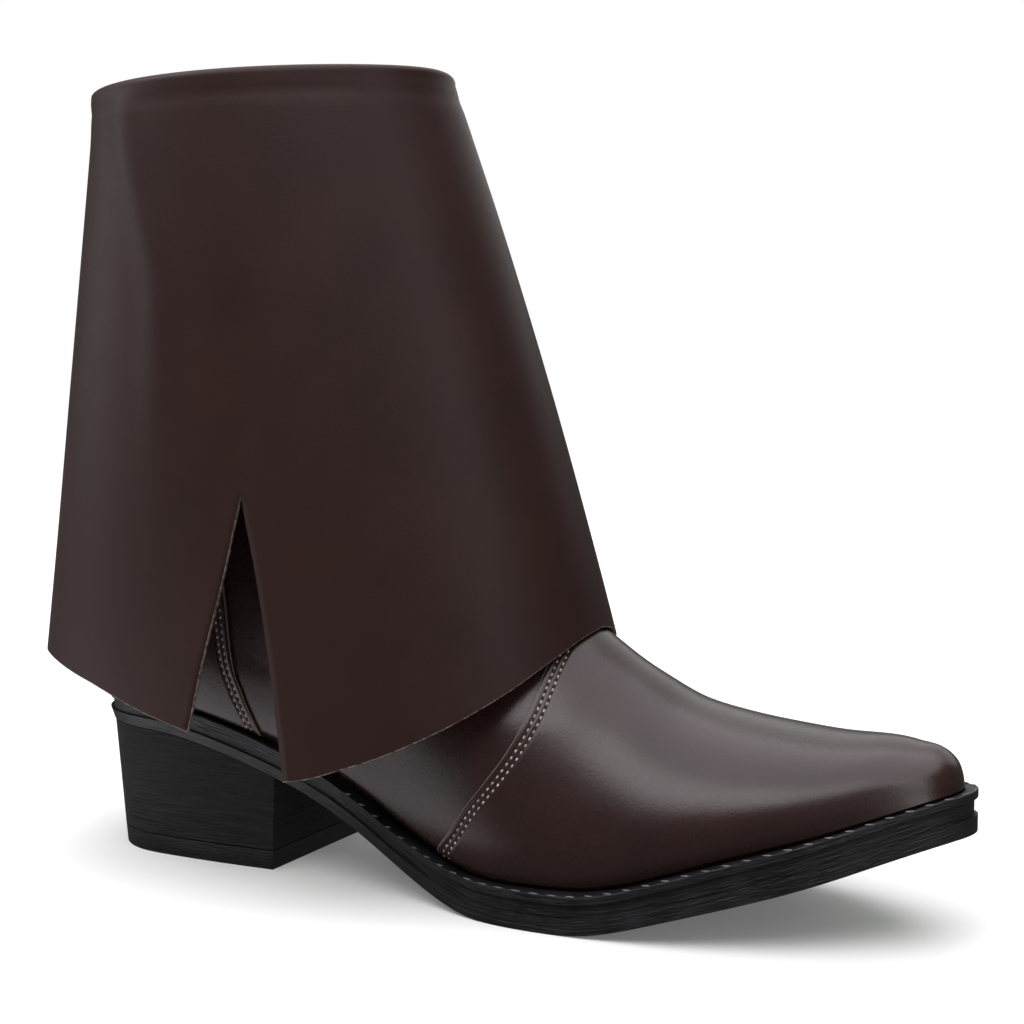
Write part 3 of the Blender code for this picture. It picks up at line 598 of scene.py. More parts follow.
def leather_at(turn, ring, above):
    """Point at a height above the last's face, with the leather's lower edge tucked in."""
    point = last_at(turn, ring)
    normal = last_normal(turn, ring)
    x = point[..., 0]
    depth = TUCK + TUCK_WAIST * np.exp(-((along(x) - WAIST_AT) / WAIST_REACH) ** 2)
    depth = depth - TOE_SPREAD * blend(SPREAD_FROM, SPREAD_TO, along(x))
    fade = np.clip(1 - (point[..., 2] - lip(x)) / TUCK_RISE, 0.0, 1.0) ** 2
    flat = normal * np.array([1.0, 1.0, 0.0])
    return point + normal * np.asarray(above)[..., None] - flat * (depth * fade)[..., None]


# Brown leather: smooth calf finished with a thin pigmented coat, so it is near black-brown with a soft
# satin gloss. The pores stand about 0.7 mm apart, and the hide's own mottle is a few centimetres wide.
def brown_leather(name, low, high, gloss_low, gloss_high, pore, level):
    made, tree, shader = new_material(name)
    place = add_node(tree, "ShaderNodeTexCoord", {})
    where = place.outputs["Object"]
    mottle = add_node(tree, "ShaderNodeTexNoise", {"Scale": 34.0, "Detail": 5.0, "Roughness": 0.6},
                      [("Vector", where)])
    tone = add_node(tree, "ShaderNodeValToRGB", {"stops": ((0.30, low), (0.72, high))},
                    [("Fac", mottle.outputs["Fac"])])
    cells = add_node(tree, "ShaderNodeTexVoronoi", {"Scale": 1.0 / 0.0007}, [("Vector", where)])
    fine = add_node(tree, "ShaderNodeTexNoise", {"Scale": 1.0 / 0.0016, "Detail": 7.0, "Roughness": 0.7},
                    [("Vector", where)])
    grain = add_node(tree, "ShaderNodeMath", {"operation": "MULTIPLY_ADD", 1: 0.55},
                     [(0, cells.outputs["Distance"]), (2, fine.outputs["Fac"])])
    shine = add_node(tree, "ShaderNodeMapRange", {"From Min": 0.35, "From Max": 0.7, "To Min": gloss_low,
                                                  "To Max": gloss_high}, [("Value", fine.outputs["Fac"])])
    relief = add_node(tree, "ShaderNodeBump", {"Strength": pore, "Distance": 0.00025},
                      [("Height", grain.outputs["Value"])])
    tree.links.new(tone.outputs["Color"], shader.inputs["Base Color"])
    tree.links.new(shine.outputs["Result"], shader.inputs["Roughness"])
    tree.links.new(relief.outputs["Normal"], shader.inputs["Normal"])
    shader.inputs["Specular IOR Level"].default_value = level
    return made


upper_leather = brown_leather("calf_leather", "#1c100e", "#231411", 0.26, 0.31, 0.11, 0.32)

# Lining: brown textile with a short brushed face, quite matt.
lining_cloth, tree, shader = new_material("brushed_lining")
place = add_node(tree, "ShaderNodeTexCoord", {})
nap = add_node(tree, "ShaderNodeTexNoise", {"Scale": 1400.0, "Detail": 5.0, "Roughness": 0.7},
               [("Vector", place.outputs["Object"])])
tone = add_node(tree, "ShaderNodeValToRGB", {"stops": ((0.0, "#241a17"), (1.0, "#3b2d28"))},
                [("Fac", nap.outputs["Fac"])])
relief = add_node(tree, "ShaderNodeBump", {"Strength": 0.4, "Distance": 0.0002},
                  [("Height", nap.outputs["Fac"])])
tree.links.new(tone.outputs["Color"], shader.inputs["Base Color"])
tree.links.new(relief.outputs["Normal"], shader.inputs["Normal"])
shader.inputs["Roughness"].default_value = 0.9

TUCKED_ROWS = 0.06
TUCKED_DEPTH = 0.0030
FIRST_STEP = 0.55
SIDE_CROWDING = 0.12
TOE_SMOOTH_FROM = 0.17
TOE_SMOOTH_TIMES = 14


def turns_round(share):
    """Turns round a whole ring, closer together on the sides, where each step covers the most leather."""
    turn = 2 * math.pi * share
    return turn + SIDE_CROWDING * np.sin(2 * turn)


def smooth_toe(piece):
    """Smooth the forefoot of a sheet, so that no station of the last shows as a bump."""
    for vert in piece.data.vertices:
        vert.select = vert.co.x > TOE_SMOOTH_FROM
    for part in (*piece.data.edges, *piece.data.polygons):
        part.select = all(piece.data.vertices[i].select for i in part.vertices)
    choose(piece)
    bpy.ops.object.mode_set(mode="EDIT")
    bpy.ops.mesh.vertices_smooth(factor=0.5, repeat=TOE_SMOOTH_TIMES)
    bpy.ops.object.mode_set(mode="OBJECT")


quarters = grid_sheet("quarters", 260, 130)
u, v, _ = shares_of(quarters)
turn = turns_round(u)
ring = np.clip((v - TUCKED_ROWS) / (1 - TUCKED_ROWS), 0.0, 1.0)
ring = ring * (FIRST_STEP + (1 - FIRST_STEP) * ring)
below = np.clip(1 - v / TUCKED_ROWS, 0.0, 1.0)
points = leather_at(turn, ring, np.zeros_like(ring))
inward = last_normal(turn, ring) * np.array([1.0, 1.0, 0.0])
points = points - inward * (TUCKED_DEPTH / 2 * below)[:, None]
points[:, 2] -= TUCKED_DEPTH * below
lay(quarters, points)
close_up(quarters, 60)
smooth_toe(quarters)
give_finish(quarters, upper_leather, lining_cloth)
modify(quarters, "SOLIDIFY", thickness=UPPER_WALL, offset=-1.0, material_offset=1, material_offset_rim=1)
put_on(quarters, "leather", "upper")


# Vamp: the second layer over the forefoot, skived and stitched down over the quarters. Its back edge
# is cut raw and runs down from under the cuff to the welt on both sides.

VAMP_REACH = 0.66
OVERLAY_START = 0.002
OVERLAY_THICKNESS = 0.0010
OVERLAY_WALL = 0.00085
OVERLAY_COLUMNS = 200
OVERLAY_RINGS = 120
LOW_RINGS = 1.2
EDGE_BAND = 0.0084
EDGE_COLUMNS = 24
EDGE_SHARE = 0.80
ROWS_AT = (0.0025, 0.0044)
ROW_DIP = 0.00026
ROW_DIP_WIDTH = 0.00060

VAMP_EDGE = columns(
    "height along",
    (-0.300, 0.488),
    (0.000, 0.488),
    (0.150, 0.509),
    (0.250, 0.525),
    (0.375, 0.548),
    (0.500, 0.568),
    (0.600, 0.578),
    (0.700, 0.583),
    (1.000, 0.590),
    (1.300, 0.600))


# Raw leather edge: the cut shows the hide's paler fibre, about 1 mm from tuft to tuft, dulled by the
# finish that ran over it.
def raw_edge(name, scale, low, high):
    made, tree, shader = new_material(name)
    place = add_node(tree, "ShaderNodeTexCoord", {})
    fibre = add_node(tree, "ShaderNodeTexNoise", {"Scale": scale, "Detail": 5.0, "Roughness": 0.7},
                     [("Vector", place.outputs["Object"])])
    tone = add_node(tree, "ShaderNodeValToRGB", {"stops": (low, high)}, [("Fac", fibre.outputs["Fac"])])
    tree.links.new(tone.outputs["Color"], shader.inputs["Base Color"])
    shader.inputs["Roughness"].default_value = 0.8
    return made


cut_edge = raw_edge("raw_leather_edge", 1200.0, (0.0, "#35261f"), (1.0, "#6c5c54"))


def edge_turn(edge, ring, side):
    """Turn at which a ring crosses an edge line of the side view, on the outer (1) or inner (-1) side."""
    line = reader(edge, "along")
    turns = np.linspace(0.02, math.pi - 0.02, 500)
    points = last_at(side * turns, np.full_like(turns, ring))
    height = (points[:, 2] - lip(points[:, 0])) / INSTEP_RISE
    past = points[:, 0] - SOLE_BACK - SOLE_LENGTH * line(height)
    return float(np.interp(0.0, past, turns)) * side


def run_along(points):
    """Length of the line up to each of its points."""
    return np.concatenate([[0.0], np.cumsum(np.linalg.norm(np.diff(points, axis=0), axis=1))])


def overlay_path(first, last, ring):
    """Turns along one ring, fine near both edges and even between, and how far in from an edge each is."""
    turns = np.linspace(first, last, 900)
    run = run_along(leather_at(turns, np.full_like(turns, ring), np.zeros_like(turns)))
    fine = np.linspace(0.0, EDGE_BAND, EDGE_COLUMNS + 1)
    middle = np.linspace(EDGE_BAND, run[-1] - EDGE_BAND, OVERLAY_COLUMNS - 2 * EDGE_COLUMNS + 1)
    at = np.concatenate([fine, middle[1:-1], run[-1] - fine[::-1]])
    return np.interp(at, run, turns), np.minimum(at, run[-1] - at)


def edge_relief(inset):
    """Height of the overlay over the layer below: rounded at the cut edge, drawn down along each row."""
    height = OVERLAY_THICKNESS * (EDGE_SHARE + (1 - EDGE_SHARE) * blend(-0.0002, 0.0010, inset))
    for row in ROWS_AT:
        height = height - ROW_DIP * np.exp(-((inset - row) / ROW_DIP_WIDTH) ** 2)
    return height


def overlay(name, edge, reach, way):
    """A sheet over the last between an edge line's two crossings, round the toe (1) or the heel (-1)."""
    piece = grid_sheet(name, OVERLAY_COLUMNS, OVERLAY_RINGS - 1)
    rows = []
    for share in np.linspace(0.0, 1.0, OVERLAY_RINGS) ** LOW_RINGS:
        ring = OVERLAY_START + (reach - OVERLAY_START) * share
        last = edge_turn(edge, ring, -way) + math.pi * (1 + way)
        turns, inset = overlay_path(edge_turn(edge, ring, way), last, ring)
        rows.append(leather_at(turns, np.full_like(turns, ring), edge_relief(inset)))
    lay(piece, np.concatenate(rows))
    for face in piece.data.polygons:
        face.material_index = 1 if face.index % OVERLAY_COLUMNS in (0, OVERLAY_COLUMNS - 1) else 0
    close_up(piece, 60)
    smooth_toe(piece)
    give_finish(piece, upper_leather, cut_edge)
    modify(piece, "SOLIDIFY", thickness=OVERLAY_WALL, offset=-1.0, material_offset_rim=1)
    return piece


put_on(overlay("vamp", VAMP_EDGE, VAMP_REACH, 1), "leather", "upper")


# Heel counter: the second layer of calf round the back of the heel, over a stiffener. It is cut raw and
# stitched down like the vamp, and its top edge ends out of sight under the cuff.

COUNTER_REACH = 0.80
COUNTER_EDGE = columns(
    "height along",
    (-0.300, 0.255),
    (0.000, 0.253),
    (0.145, 0.235),
    (0.250, 0.222),
    (0.350, 0.217),
    (0.600, 0.212),
    (1.000, 0.205),
    (1.600, 0.190))

put_on(overlay("heel_counter", COUNTER_EDGE, COUNTER_REACH, -1), "leather", "upper")


# Closing stitches: two rows of beige cotton-wrapped thread along each overlay's edge, about 2.2 mm to
# the stitch. Each stitch sinks between its two needle holes. The holes' shade is painted on as near-black
# dots that sit just proud of the leather.

STITCH_PITCH = 0.0022
STITCH_LENGTH = 0.00112
STITCH_WIDTH = 0.00068
STITCH_DEPTH = 0.000544
STITCH_SINK = 0.00005
HOLE_SHADE_WIDTH = 0.00132
HOLE_SHADE_DEPTH = 0.0003
HOLE_SHADE_STAND = 0.00004
ROW_START = 0.008
COUNTER_ROW_REACH = 0.92 * COUNTER_REACH


# Spun thread: matt, its tone wandering from one stitch to the next over about 3 mm, with a ply that
# stands about 0.3 mm apart. The same material in near black paints the shade of the needle holes.
def spun_thread(name, low, high, roughness):
    made, tree, shader = new_material(name)
    place = add_node(tree, "ShaderNodeTexCoord", {})
    wander = add_node(tree, "ShaderNodeTexNoise", {"Scale": 1.0 / 0.0030, "Detail": 3.0, "Roughness": 0.7},
                      [("Vector", place.outputs["Object"])])
    tone = add_node(tree, "ShaderNodeValToRGB", {"stops": ((0.30, low), (0.70, high))},
                    [("Fac", wander.outputs["Fac"])])
    ply = add_node(tree, "ShaderNodeTexNoise", {"Scale": 1.0 / 0.0003, "Detail": 2.0},
                   [("Vector", place.outputs["Object"])])
    relief = add_node(tree, "ShaderNodeBump", {"Strength": 0.5, "Distance": 0.0001},
                      [("Height", ply.outputs["Fac"])])
    tree.links.new(tone.outputs["Color"], shader.inputs["Base Color"])
    tree.links.new(relief.outputs["Normal"], shader.inputs["Normal"])
    shader.inputs["Roughness"].default_value = roughness
    return made


stitch_thread = spun_thread("beige_thread", "#66564f", "#ad9990", 0.75)
painted_hole_shade = spun_thread("painted_hole_shade", "#070504", "#130d0b", 0.9)


def bead(name, length, width, depth, finish):
    """A model of one stitch or hole, to be copied."""
    bpy.ops.mesh.primitive_uv_sphere_add(segments=8, ring_count=6, radius=0.5)
    made = bpy.context.object
    made.name = name
    made.scale = (length, width, depth)
    bpy.ops.object.transform_apply(location=False, rotation=False, scale=True)
    bpy.ops.object.shade_smooth()
    made.data.materials.append(finish)
    return made


def at_marks(marks, run, values):
    return np.stack([np.interp(marks, run, values[:, k]) for k in range(3)], axis=1)


def row_points(edge, way, side, inset, reach):
    """Points and outward directions of one row on an overlay, half a stitch pitch apart."""
    points = []
    outs = []
    for ring in np.linspace(ROW_START, reach, 60):
        turns = edge_turn(edge, ring, side) + side * way * np.linspace(0.0, 0.5, 200)
        run = run_along(leather_at(turns, np.full_like(turns, ring), np.zeros_like(turns)))
        turn = np.interp([inset], run, turns)
        points.append(leather_at(turn, np.array([ring]), edge_relief(np.array([inset])))[0])
        outs.append(last_normal(turn, np.array([ring]))[0])
    run = run_along(points)
    marks = np.arange(STITCH_PITCH / 2, run[-1], STITCH_PITCH / 2)
    return at_marks(marks, run, np.array(points)), at_marks(marks, run, np.array(outs))


def set_copies(name, model, rows, sink):
    """Copies of a model, each with its own mesh, +X along its row and +Z outwards, joined to one piece."""
    made = []
    for points, alongs, outs in rows:
        for point, heading, out in zip(points, alongs, outs):
            z = Vector(out).normalized()
            x = Vector(heading)
            x = (x - z * x.dot(z)).normalized()
            y = z.cross(x)
            copy = model.copy()
            copy.data = model.data.copy()
            bpy.context.scene.collection.objects.link(copy)
            at = Vector(point) - z * sink
            for vert in copy.data.vertices:
                vert.co = at + x * vert.co.x + y * vert.co.y + z * vert.co.z
            made.append(copy)
    bpy.ops.object.select_all(action="DESELECT")
    for copy in made:
        copy.select_set(True)
    bpy.context.view_layer.objects.active = made[0]
    bpy.ops.object.join()
    made[0].name = name
    return made[0]


stitch = bead("stitch", STITCH_LENGTH, STITCH_WIDTH, STITCH_DEPTH, stitch_thread)
# Near-black beads standing just proud of the leather paint the shade of each needle hole.
hole_shade_bead = bead("hole_shade_bead", HOLE_SHADE_WIDTH, HOLE_SHADE_WIDTH, HOLE_SHADE_DEPTH, painted_hole_shade)
hole_shade_beads = []
for name, edge, way, reach in (("vamp_stitches", VAMP_EDGE, 1, VAMP_REACH),
                               ("counter_stitches", COUNTER_EDGE, -1, COUNTER_ROW_REACH)):
    threads = []
    for side in (1, -1):
        for inset in ROWS_AT:
            points, outs = row_points(edge, way, side, inset, reach)
            alongs = np.gradient(points, axis=0)
            threads.append((points[0::2], alongs[0::2], outs[0::2]))
            hole_shade_beads.append((points[1::2], alongs[1::2], outs[1::2]))
    put_on(set_copies(name, stitch, threads, STITCH_SINK), "leather")
put_on(set_copies("painted_hole_shadows", hole_shade_bead, hole_shade_beads, -HOLE_SHADE_STAND), "leather")
for model in (stitch, hole_shade_bead):
    bpy.data.objects.remove(model)


# Insole: the board inside the boot, lying on the midsole between the leather's turned-in edges. It is
# covered with the same brushed textile as a sock.

INSOLE_THICKNESS = 0.0030
INSOLE_INSET = 0.0052

insole, u, v, level = plate("insole_sock", 120, 12)
share = (1 - np.cos(math.pi * u)) / 2
x = FOOT_BACK + INSOLE_INSET + (FOOT_FRONT - FOOT_BACK - 2 * INSOLE_INSET) * share
wide = foot_half_width(FOOT_BACK + (FOOT_FRONT - FOOT_BACK) * share)
wide = np.maximum(wide - INSOLE_INSET * unit_oval(share) ** 0.5, 0.0)
y = swing_at((x - FOOT_BACK) / (FOOT_FRONT - FOOT_BACK)) + (2 * v - 1) * wide
z = midsole_top(x) + LAYER_GAP + INSOLE_THICKNESS * (level > 0.5)
lay(insole, np.stack([x, y, z], axis=1))
close_up(insole, 40)
give_finish(insole, lining_cloth)
put_on(insole, "lining", "insole")


# Welt: the black strip laid on the midsole round the lasted upper, its outer edge trimmed flush with the
# sole's. It is stitched down through the midsole.

WELT_EDGE = 0.0003
WELT_BED = 0.00005
WELT_CLEARANCE = 0.0001


def welt_outline(turn):
    """Plan of the welt's outer edge for turns round the foot."""
    c = (1 - np.cos(turn)) / 2
    foot_x = FOOT_BACK + (FOOT_FRONT - FOOT_BACK) * c
    x = foot_x + (SOLE_BACK + SOLE_LENGTH * c - foot_x) * np.abs(2 * c - 1) ** 3
    side = np.where(np.sin(turn) >= 0, -1.0, 1.0)
    return np.stack([x, swing_at(along(x)) + side * half_width(along(x))], axis=1)


welt, u, v, level = plate("welt", 300, 6)
turn = turns_round(u)
outer = welt_outline(turn)
inner = leather_at(turn, np.zeros_like(turn), np.full_like(turn, WELT_CLEARANCE))[:, :2]
plan = outer + (inner - outer) * v[:, None]
z = np.where(level > 0.5, welt_top(plan[:, 0]), midsole_top(plan[:, 0]) + WELT_BED)
lay(welt, np.column_stack([plan, z]))
trim(welt, WELT_EDGE, 60, underside)
give_finish(welt, sole_rubber)
put_on(welt, "welt", "welt")


# Welt stitches: thick black waxed thread, lying along the welt's outer edge and standing a little
# proud. Its colour is lightened to dark grey, a painted highlight for the light each stitch catches. They
# run from one side of the waist round the toe to the other.

WELT_PITCH = 0.0055
WELT_STITCH = 0.0037
WELT_THREAD = 0.0007
WELT_THREAD_DEPTH = 0.0006
WELT_ROW_INSET = 0.0005
WELT_ROW_SINK = 0.0001
WELT_ROW_FROM = 0.36
HEEL_TURN = 0.35

# Black thread given a dark grey colour: the lighter tone is a painted highlight.
waxed_thread_and_glint = spun_thread("waxed_thread_and_glint", "#262628", "#505053", 0.45)

line = welt_outline(np.linspace(HEEL_TURN, 2 * math.pi - HEEL_TURN, 1500))
line = np.column_stack([line, welt_top(line[:, 0])])[along(line[:, 0]) > WELT_ROW_FROM]
heading = np.gradient(line, axis=0)
heading /= np.linalg.norm(heading, axis=1, keepdims=True)
inward = np.stack([-heading[:, 1], heading[:, 0], np.zeros(len(heading))], axis=1)
line = line + inward * WELT_ROW_INSET
run = run_along(line)
marks = np.arange(WELT_PITCH / 2, run[-1], WELT_PITCH)
row = at_marks(marks, run, line), at_marks(marks, run, heading), np.tile([0.0, 0.0, 1.0], (len(marks), 1))
lock = bead("lock_stitch", WELT_STITCH, WELT_THREAD, WELT_THREAD_DEPTH, waxed_thread_and_glint)
put_on(set_copies("welt_stitches", lock, [row], WELT_ROW_SINK), "welt")
bpy.data.objects.remove(lock)


# Heel block: lifts of leather board stacked, trimmed together and inked black. The layers show on the
# side as fine irregular lines.

HEEL_BASE_LENGTH = 0.0680
HEEL_TAPER_BACK = 0.0037
HEEL_TAPER_SIDE = 0.0018
HEEL_INSET = 0.0013
BREAST_LEAN = 0.0020
LIFT_THICKNESS = 0.0058
HEEL_FRONT = HEEL_BASE_LENGTH / 2
BLOCK_EDGE = 0.0004

stacked_leather, tree, shader = new_material("stacked_leather")
place = add_node(tree, "ShaderNodeTexCoord", {})
flatten = add_node(tree, "ShaderNodeMapping", {"Scale": (70.0, 70.0, 1300.0)},
                   [("Vector", place.outputs["Object"])])
layers = add_node(tree, "ShaderNodeTexNoise", {"Scale": 1.0, "Detail": 5.0, "Roughness": 0.7},
                  [("Vector", flatten.outputs["Vector"])])
tone = add_node(tree, "ShaderNodeValToRGB", {"stops": ((0.35, "#0c0b0b"), (0.70, "#242324"))},
                [("Fac", layers.outputs["Fac"])])
relief = add_node(tree, "ShaderNodeBump", {"Strength": 1.0, "Distance": 0.0012},
                  [("Height", layers.outputs["Fac"])])
tree.links.new(tone.outputs["Color"], shader.inputs["Base Color"])
tree.links.new(relief.outputs["Normal"], shader.inputs["Normal"])
shader.inputs["Roughness"].default_value = 0.45
shader.inputs["Specular IOR Level"].default_value = 0.15


def heel_part(name, low, high, low_level, high_level, edge):
    """A plate with the heel's plan, narrower towards the floor; levels are 0 there and 1 at the seat."""
    piece, u, v, top = plate(name, 60, 8)
    share = 1 - np.cos(math.pi / 2 * u)
    level = np.where(top > 0.5, high_level, low_level)
    back = SOLE_BACK + HEEL_INSET + HEEL_TAPER_BACK * (1 - level)
    x = back + (HEEL_FRONT + BREAST_LEAN * level - back) * share
    narrow = 1 - 2 * (HEEL_INSET + HEEL_TAPER_SIDE * (1 - level)) / HEEL_WIDTH
    half = half_width(along(HEEL_FRONT + BREAST_LEAN) * share) * narrow
    lay(piece, np.stack([x, (2 * v - 1) * half, np.where(top > 0.5, high(x), low(x))], axis=1))
    trim(piece, edge, 55, lambda x: 0.0)
    return piece


lift_share = (LIFT_THICKNESS + LAYER_GAP) / SEAT_HEIGHT
heel_block = heel_part("heel_block", lambda x: LIFT_THICKNESS + LAYER_GAP,
                       lambda x: underside(x) - LAYER_GAP, lift_share, 1.0, BLOCK_EDGE)
give_finish(heel_block, stacked_leather)
put_on(heel_block, "heel", "heel_block")


# Heel lift: the rubber top piece that meets the ground, moulded in the sole's black rubber. It is nailed
# and cemented under the block, and trimmed flush with it.

LIFT_EDGE = 0.0005

heel_lift = heel_part("heel_lift", lambda x: 0.0, lambda x: LIFT_THICKNESS, 0.0, lift_share, LIFT_EDGE)
give_finish(heel_lift, sole_rubber)
put_on(heel_lift, "sole", "heel_lift")


# Cuff: one deep band of the same leather, turned in over the collar's edge, rolled and hung outside the
# shaft, wider towards its hem. Hem and slit are cut raw.

CUFF_THICKNESS = 0.0012
CUFF_DEPTH = 0.1860
CUFF_FLARE_LENGTH = 0.0399
CUFF_FLARE_WIDTH = 0.0223
CUFF_LEAN = 0.0188
FACING_DEPTH = 0.0230
SLIT_HEIGHT = 0.0756
SLIT_WIDTH = 0.0310
SLIT_ANGLE = 0.4630 * math.pi
FOLD_RADIUS = UPPER_WALL / 2 + LAYER_GAP + CUFF_THICKNESS / 2
FACING_OFFSET = -(UPPER_WALL + LAYER_GAP + CUFF_THICKNESS / 2)
CREASE = 0.0011
CREASE_WIDTH = 0.0075
CREASE_TOP = 0.668
CREASE_SLANT = 0.096
SLIT_FALL = 0.0012
SLIT_FALL_WIDTH = 0.0070
SLACK = 0.0003
SLACK_AT = 0.0050
SLACK_REACH = 0.0020
ROLL = 0.0010
ROLL_ANGLE = 0.84 * math.pi
ROLL_SPREAD = 0.35
ROLL_REACH = 0.0080
FRONT_RISE = 0.0008
FRONT_SPREAD = 0.6
HEM_BAND_FROM = 0.996
AROUND = 280
FACING_ROWS = 6
FOLD_ROWS = 12
UPPER_ROWS = 70
LOWER_ROWS = 56
CUFF_LINE = columns(
    "drop lean flare",
    (0.00, 0.000, 0.000),
    (0.25, 0.311, 0.272),
    (0.50, 0.580, 0.528),
    (0.75, 0.810, 0.768),
    (1.00, 1.000, 1.000),
    (1.10, 1.065, 1.090))
HEM = columns(
    "turn outer inner",
    (0.000, 0.848, 0.848),
    (0.049, 0.856, 0.856),
    (0.115, 0.882, 0.880),
    (0.193, 0.930, 0.920),
    (0.277, 0.986, 0.965),
    (0.356, 1.034, 1.000),
    (0.426, 1.063, 1.018),
    (0.523, 1.010, 1.010),
    (0.585, 0.987, 0.990),
    (0.689, 0.950, 0.950),
    (0.819, 0.930, 0.930),
    (1.000, 0.926, 0.926))
SLIT = columns(
    "fall front back",
    (0.000, 0.000, 0.000),
    (0.280, 0.135, 0.180),
    (0.675, 0.266, 0.459),
    (1.000, 0.352, 0.656))
hem_outer = reader(HEM, "outer")
hem_inner = reader(HEM, "inner")
lean_at = reader(CUFF_LINE, "lean")
flare_at = reader(CUFF_LINE, "flare")
slit_front = reader(SLIT, "front")
slit_back = reader(SLIT, "back")


def collar_rim(angle):
    a = COLLAR_LENGTH / 2
    b = COLLAR_WIDTH / 2
    height = np.full_like(angle, SHAFT_HEIGHT)
    point = np.stack([COLLAR_MIDDLE + a * np.cos(angle), -b * np.sin(angle), height], axis=-1)
    out = np.stack([np.cos(angle) / a, -np.sin(angle) / b, 0 * angle], axis=-1)
    return point, out / np.linalg.norm(out, axis=-1, keepdims=True)


def hem_drop(angle):
    turn = np.abs(angle) / math.pi
    return CUFF_DEPTH * np.where(angle >= 0, hem_outer(turn), hem_inner(turn))


def skirt_point(angle, drop):
    rim, out = collar_rim(angle)
    share = drop / CUFF_DEPTH
    point = rim + out * (LAYER_GAP + CUFF_THICKNESS / 2)
    point[..., 0] += CUFF_LEAN * lean_at(share) + CUFF_FLARE_LENGTH * flare_at(share) * np.cos(angle)
    point[..., 1] -= CUFF_FLARE_WIDTH * flare_at(share) * np.sin(angle)
    point[..., 2] = SHAFT_HEIGHT - drop
    return point


SLIT_TOP = float(hem_drop(np.array(SLIT_ANGLE))) - SLIT_HEIGHT


def column_angle(share, fall, drop):
    """Angle of a column of the cuff, between the slit's two lips at this share of its height."""
    half_length = COLLAR_LENGTH / 2 + CUFF_FLARE_LENGTH * drop / CUFF_DEPTH
    first = SLIT_ANGLE - SLIT_WIDTH * slit_front(fall) / half_length
    last = SLIT_ANGLE + SLIT_WIDTH * slit_back(fall) / half_length - 2 * math.pi
    angle = first + (last - first) * share
    return np.where(angle > -math.pi, angle, angle + 2 * math.pi)


def ring_at(turn, height):
    """The last's ring that passes through a height at each turn, by halving."""
    low = np.full_like(turn, INSTEP_RING)
    high = np.ones_like(turn)
    for _ in range(30):
        middle = (low + high) / 2
        under = last_at(turn, middle)[..., 2] < height
        low = np.where(under, middle, low)
        high = np.where(under, high, middle)
    return low


def roll(angle):
    """The fold stands out a little further round its back corner."""
    return ROLL * np.exp(-((np.abs(angle) - ROLL_ANGLE) / ROLL_SPREAD) ** 2)


def hang(angle, drop):
    """How far the hung leather stands out or in: the crease at the back corner, the fall above the slit,
    and the slack just under the fold."""
    corner = math.pi * (CREASE_TOP - CREASE_SLANT * blend(0.0, 0.065, drop))
    girth = COLLAR_LENGTH / 2 + 0.2 * drop
    stand = CREASE * (1 - blend(0.055, 0.150, drop))
    stand = stand * np.exp(-((angle - corner) * girth / CREASE_WIDTH) ** 2)
    fall = SLIT_FALL * blend(0.045, 0.110, drop) * (1 - blend(0.112, 0.135, drop))
    stand = stand - fall * np.exp(-((angle - SLIT_ANGLE) * girth / SLIT_FALL_WIDTH) ** 2)
    slack = SLACK * np.exp(-((drop - SLACK_AT) / SLACK_REACH) ** 2)
    return stand * blend(0.0, 0.006, drop) - slack + roll(angle) * np.exp(-(drop / ROLL_REACH) ** 2)


def hung_point(angle, drop):
    return skirt_point(angle, drop) + collar_rim(angle)[1] * hang(angle, drop)[..., None]


# The rows run up the facing inside the collar, over the fold, and down outside to the hem.
share = np.linspace(0.0, 1.0, AROUND + 1)
at_slit = column_angle(share, np.zeros_like(share), np.full_like(share, SLIT_TOP))
rim, out = collar_rim(at_slit)
rim[:, 2] += FRONT_RISE * np.exp(-(at_slit / FRONT_SPREAD) ** 2)
turn = (math.pi - at_slit) % (2 * math.pi)
ring = ring_at(turn, SHAFT_HEIGHT - FACING_DEPTH)
inside = last_at(turn, ring) + last_normal(turn, ring) * FACING_OFFSET
rows = [inside + (rim + out * FACING_OFFSET - inside) * i / FACING_ROWS for i in range(FACING_ROWS + 1)]
for i in range(1, FOLD_ROWS):
    bend = math.pi * (1 - i / FOLD_ROWS)
    sideways = FOLD_RADIUS * math.cos(bend) - UPPER_WALL / 2
    outward = out * (sideways + roll(at_slit) * blend(0.4, 1.0, i / FOLD_ROWS))[:, None]
    rows.append(rim + outward + np.array([0, 0, FOLD_RADIUS * math.sin(bend)]))
for i in range(UPPER_ROWS + 1):
    rows.append(hung_point(at_slit, np.full_like(share, SLIT_TOP * i / UPPER_ROWS)))
for level in np.append(np.linspace(0.0, HEM_BAND_FROM, LOWER_ROWS)[1:], 1.0):
    fall = np.full_like(share, level)
    reach = column_angle(share, fall, np.full_like(share, SLIT_TOP))
    falls = SLIT_TOP + (hem_drop(reach) - SLIT_TOP) * fall
    rows.append(hung_point(column_angle(share, fall, falls), falls))
cuff = grid_sheet("cuff", AROUND, len(rows) - 1)
lay(cuff, np.concatenate(rows))
for face in cuff.data.polygons:
    face.material_index = 2 if face.index >= AROUND * (len(rows) - 2) else 0
close_up(cuff, 60)
cuff_leather = brown_leather("cuff_leather", "#1f110e", "#251511", 0.44, 0.50, 0.12, 0.14)
cuff_edge = raw_edge("cuff_edge", 900.0, (0.40, "#251814"), (0.66, "#75655d"))
give_finish(cuff, cuff_leather, lining_cloth, cuff_edge)
modify(cuff, "SOLIDIFY", thickness=CUFF_THICKNESS, offset=0.0, use_even_offset=True, material_offset=1,
       material_offset_rim=2)
put_on(cuff, "leather", "cuff")
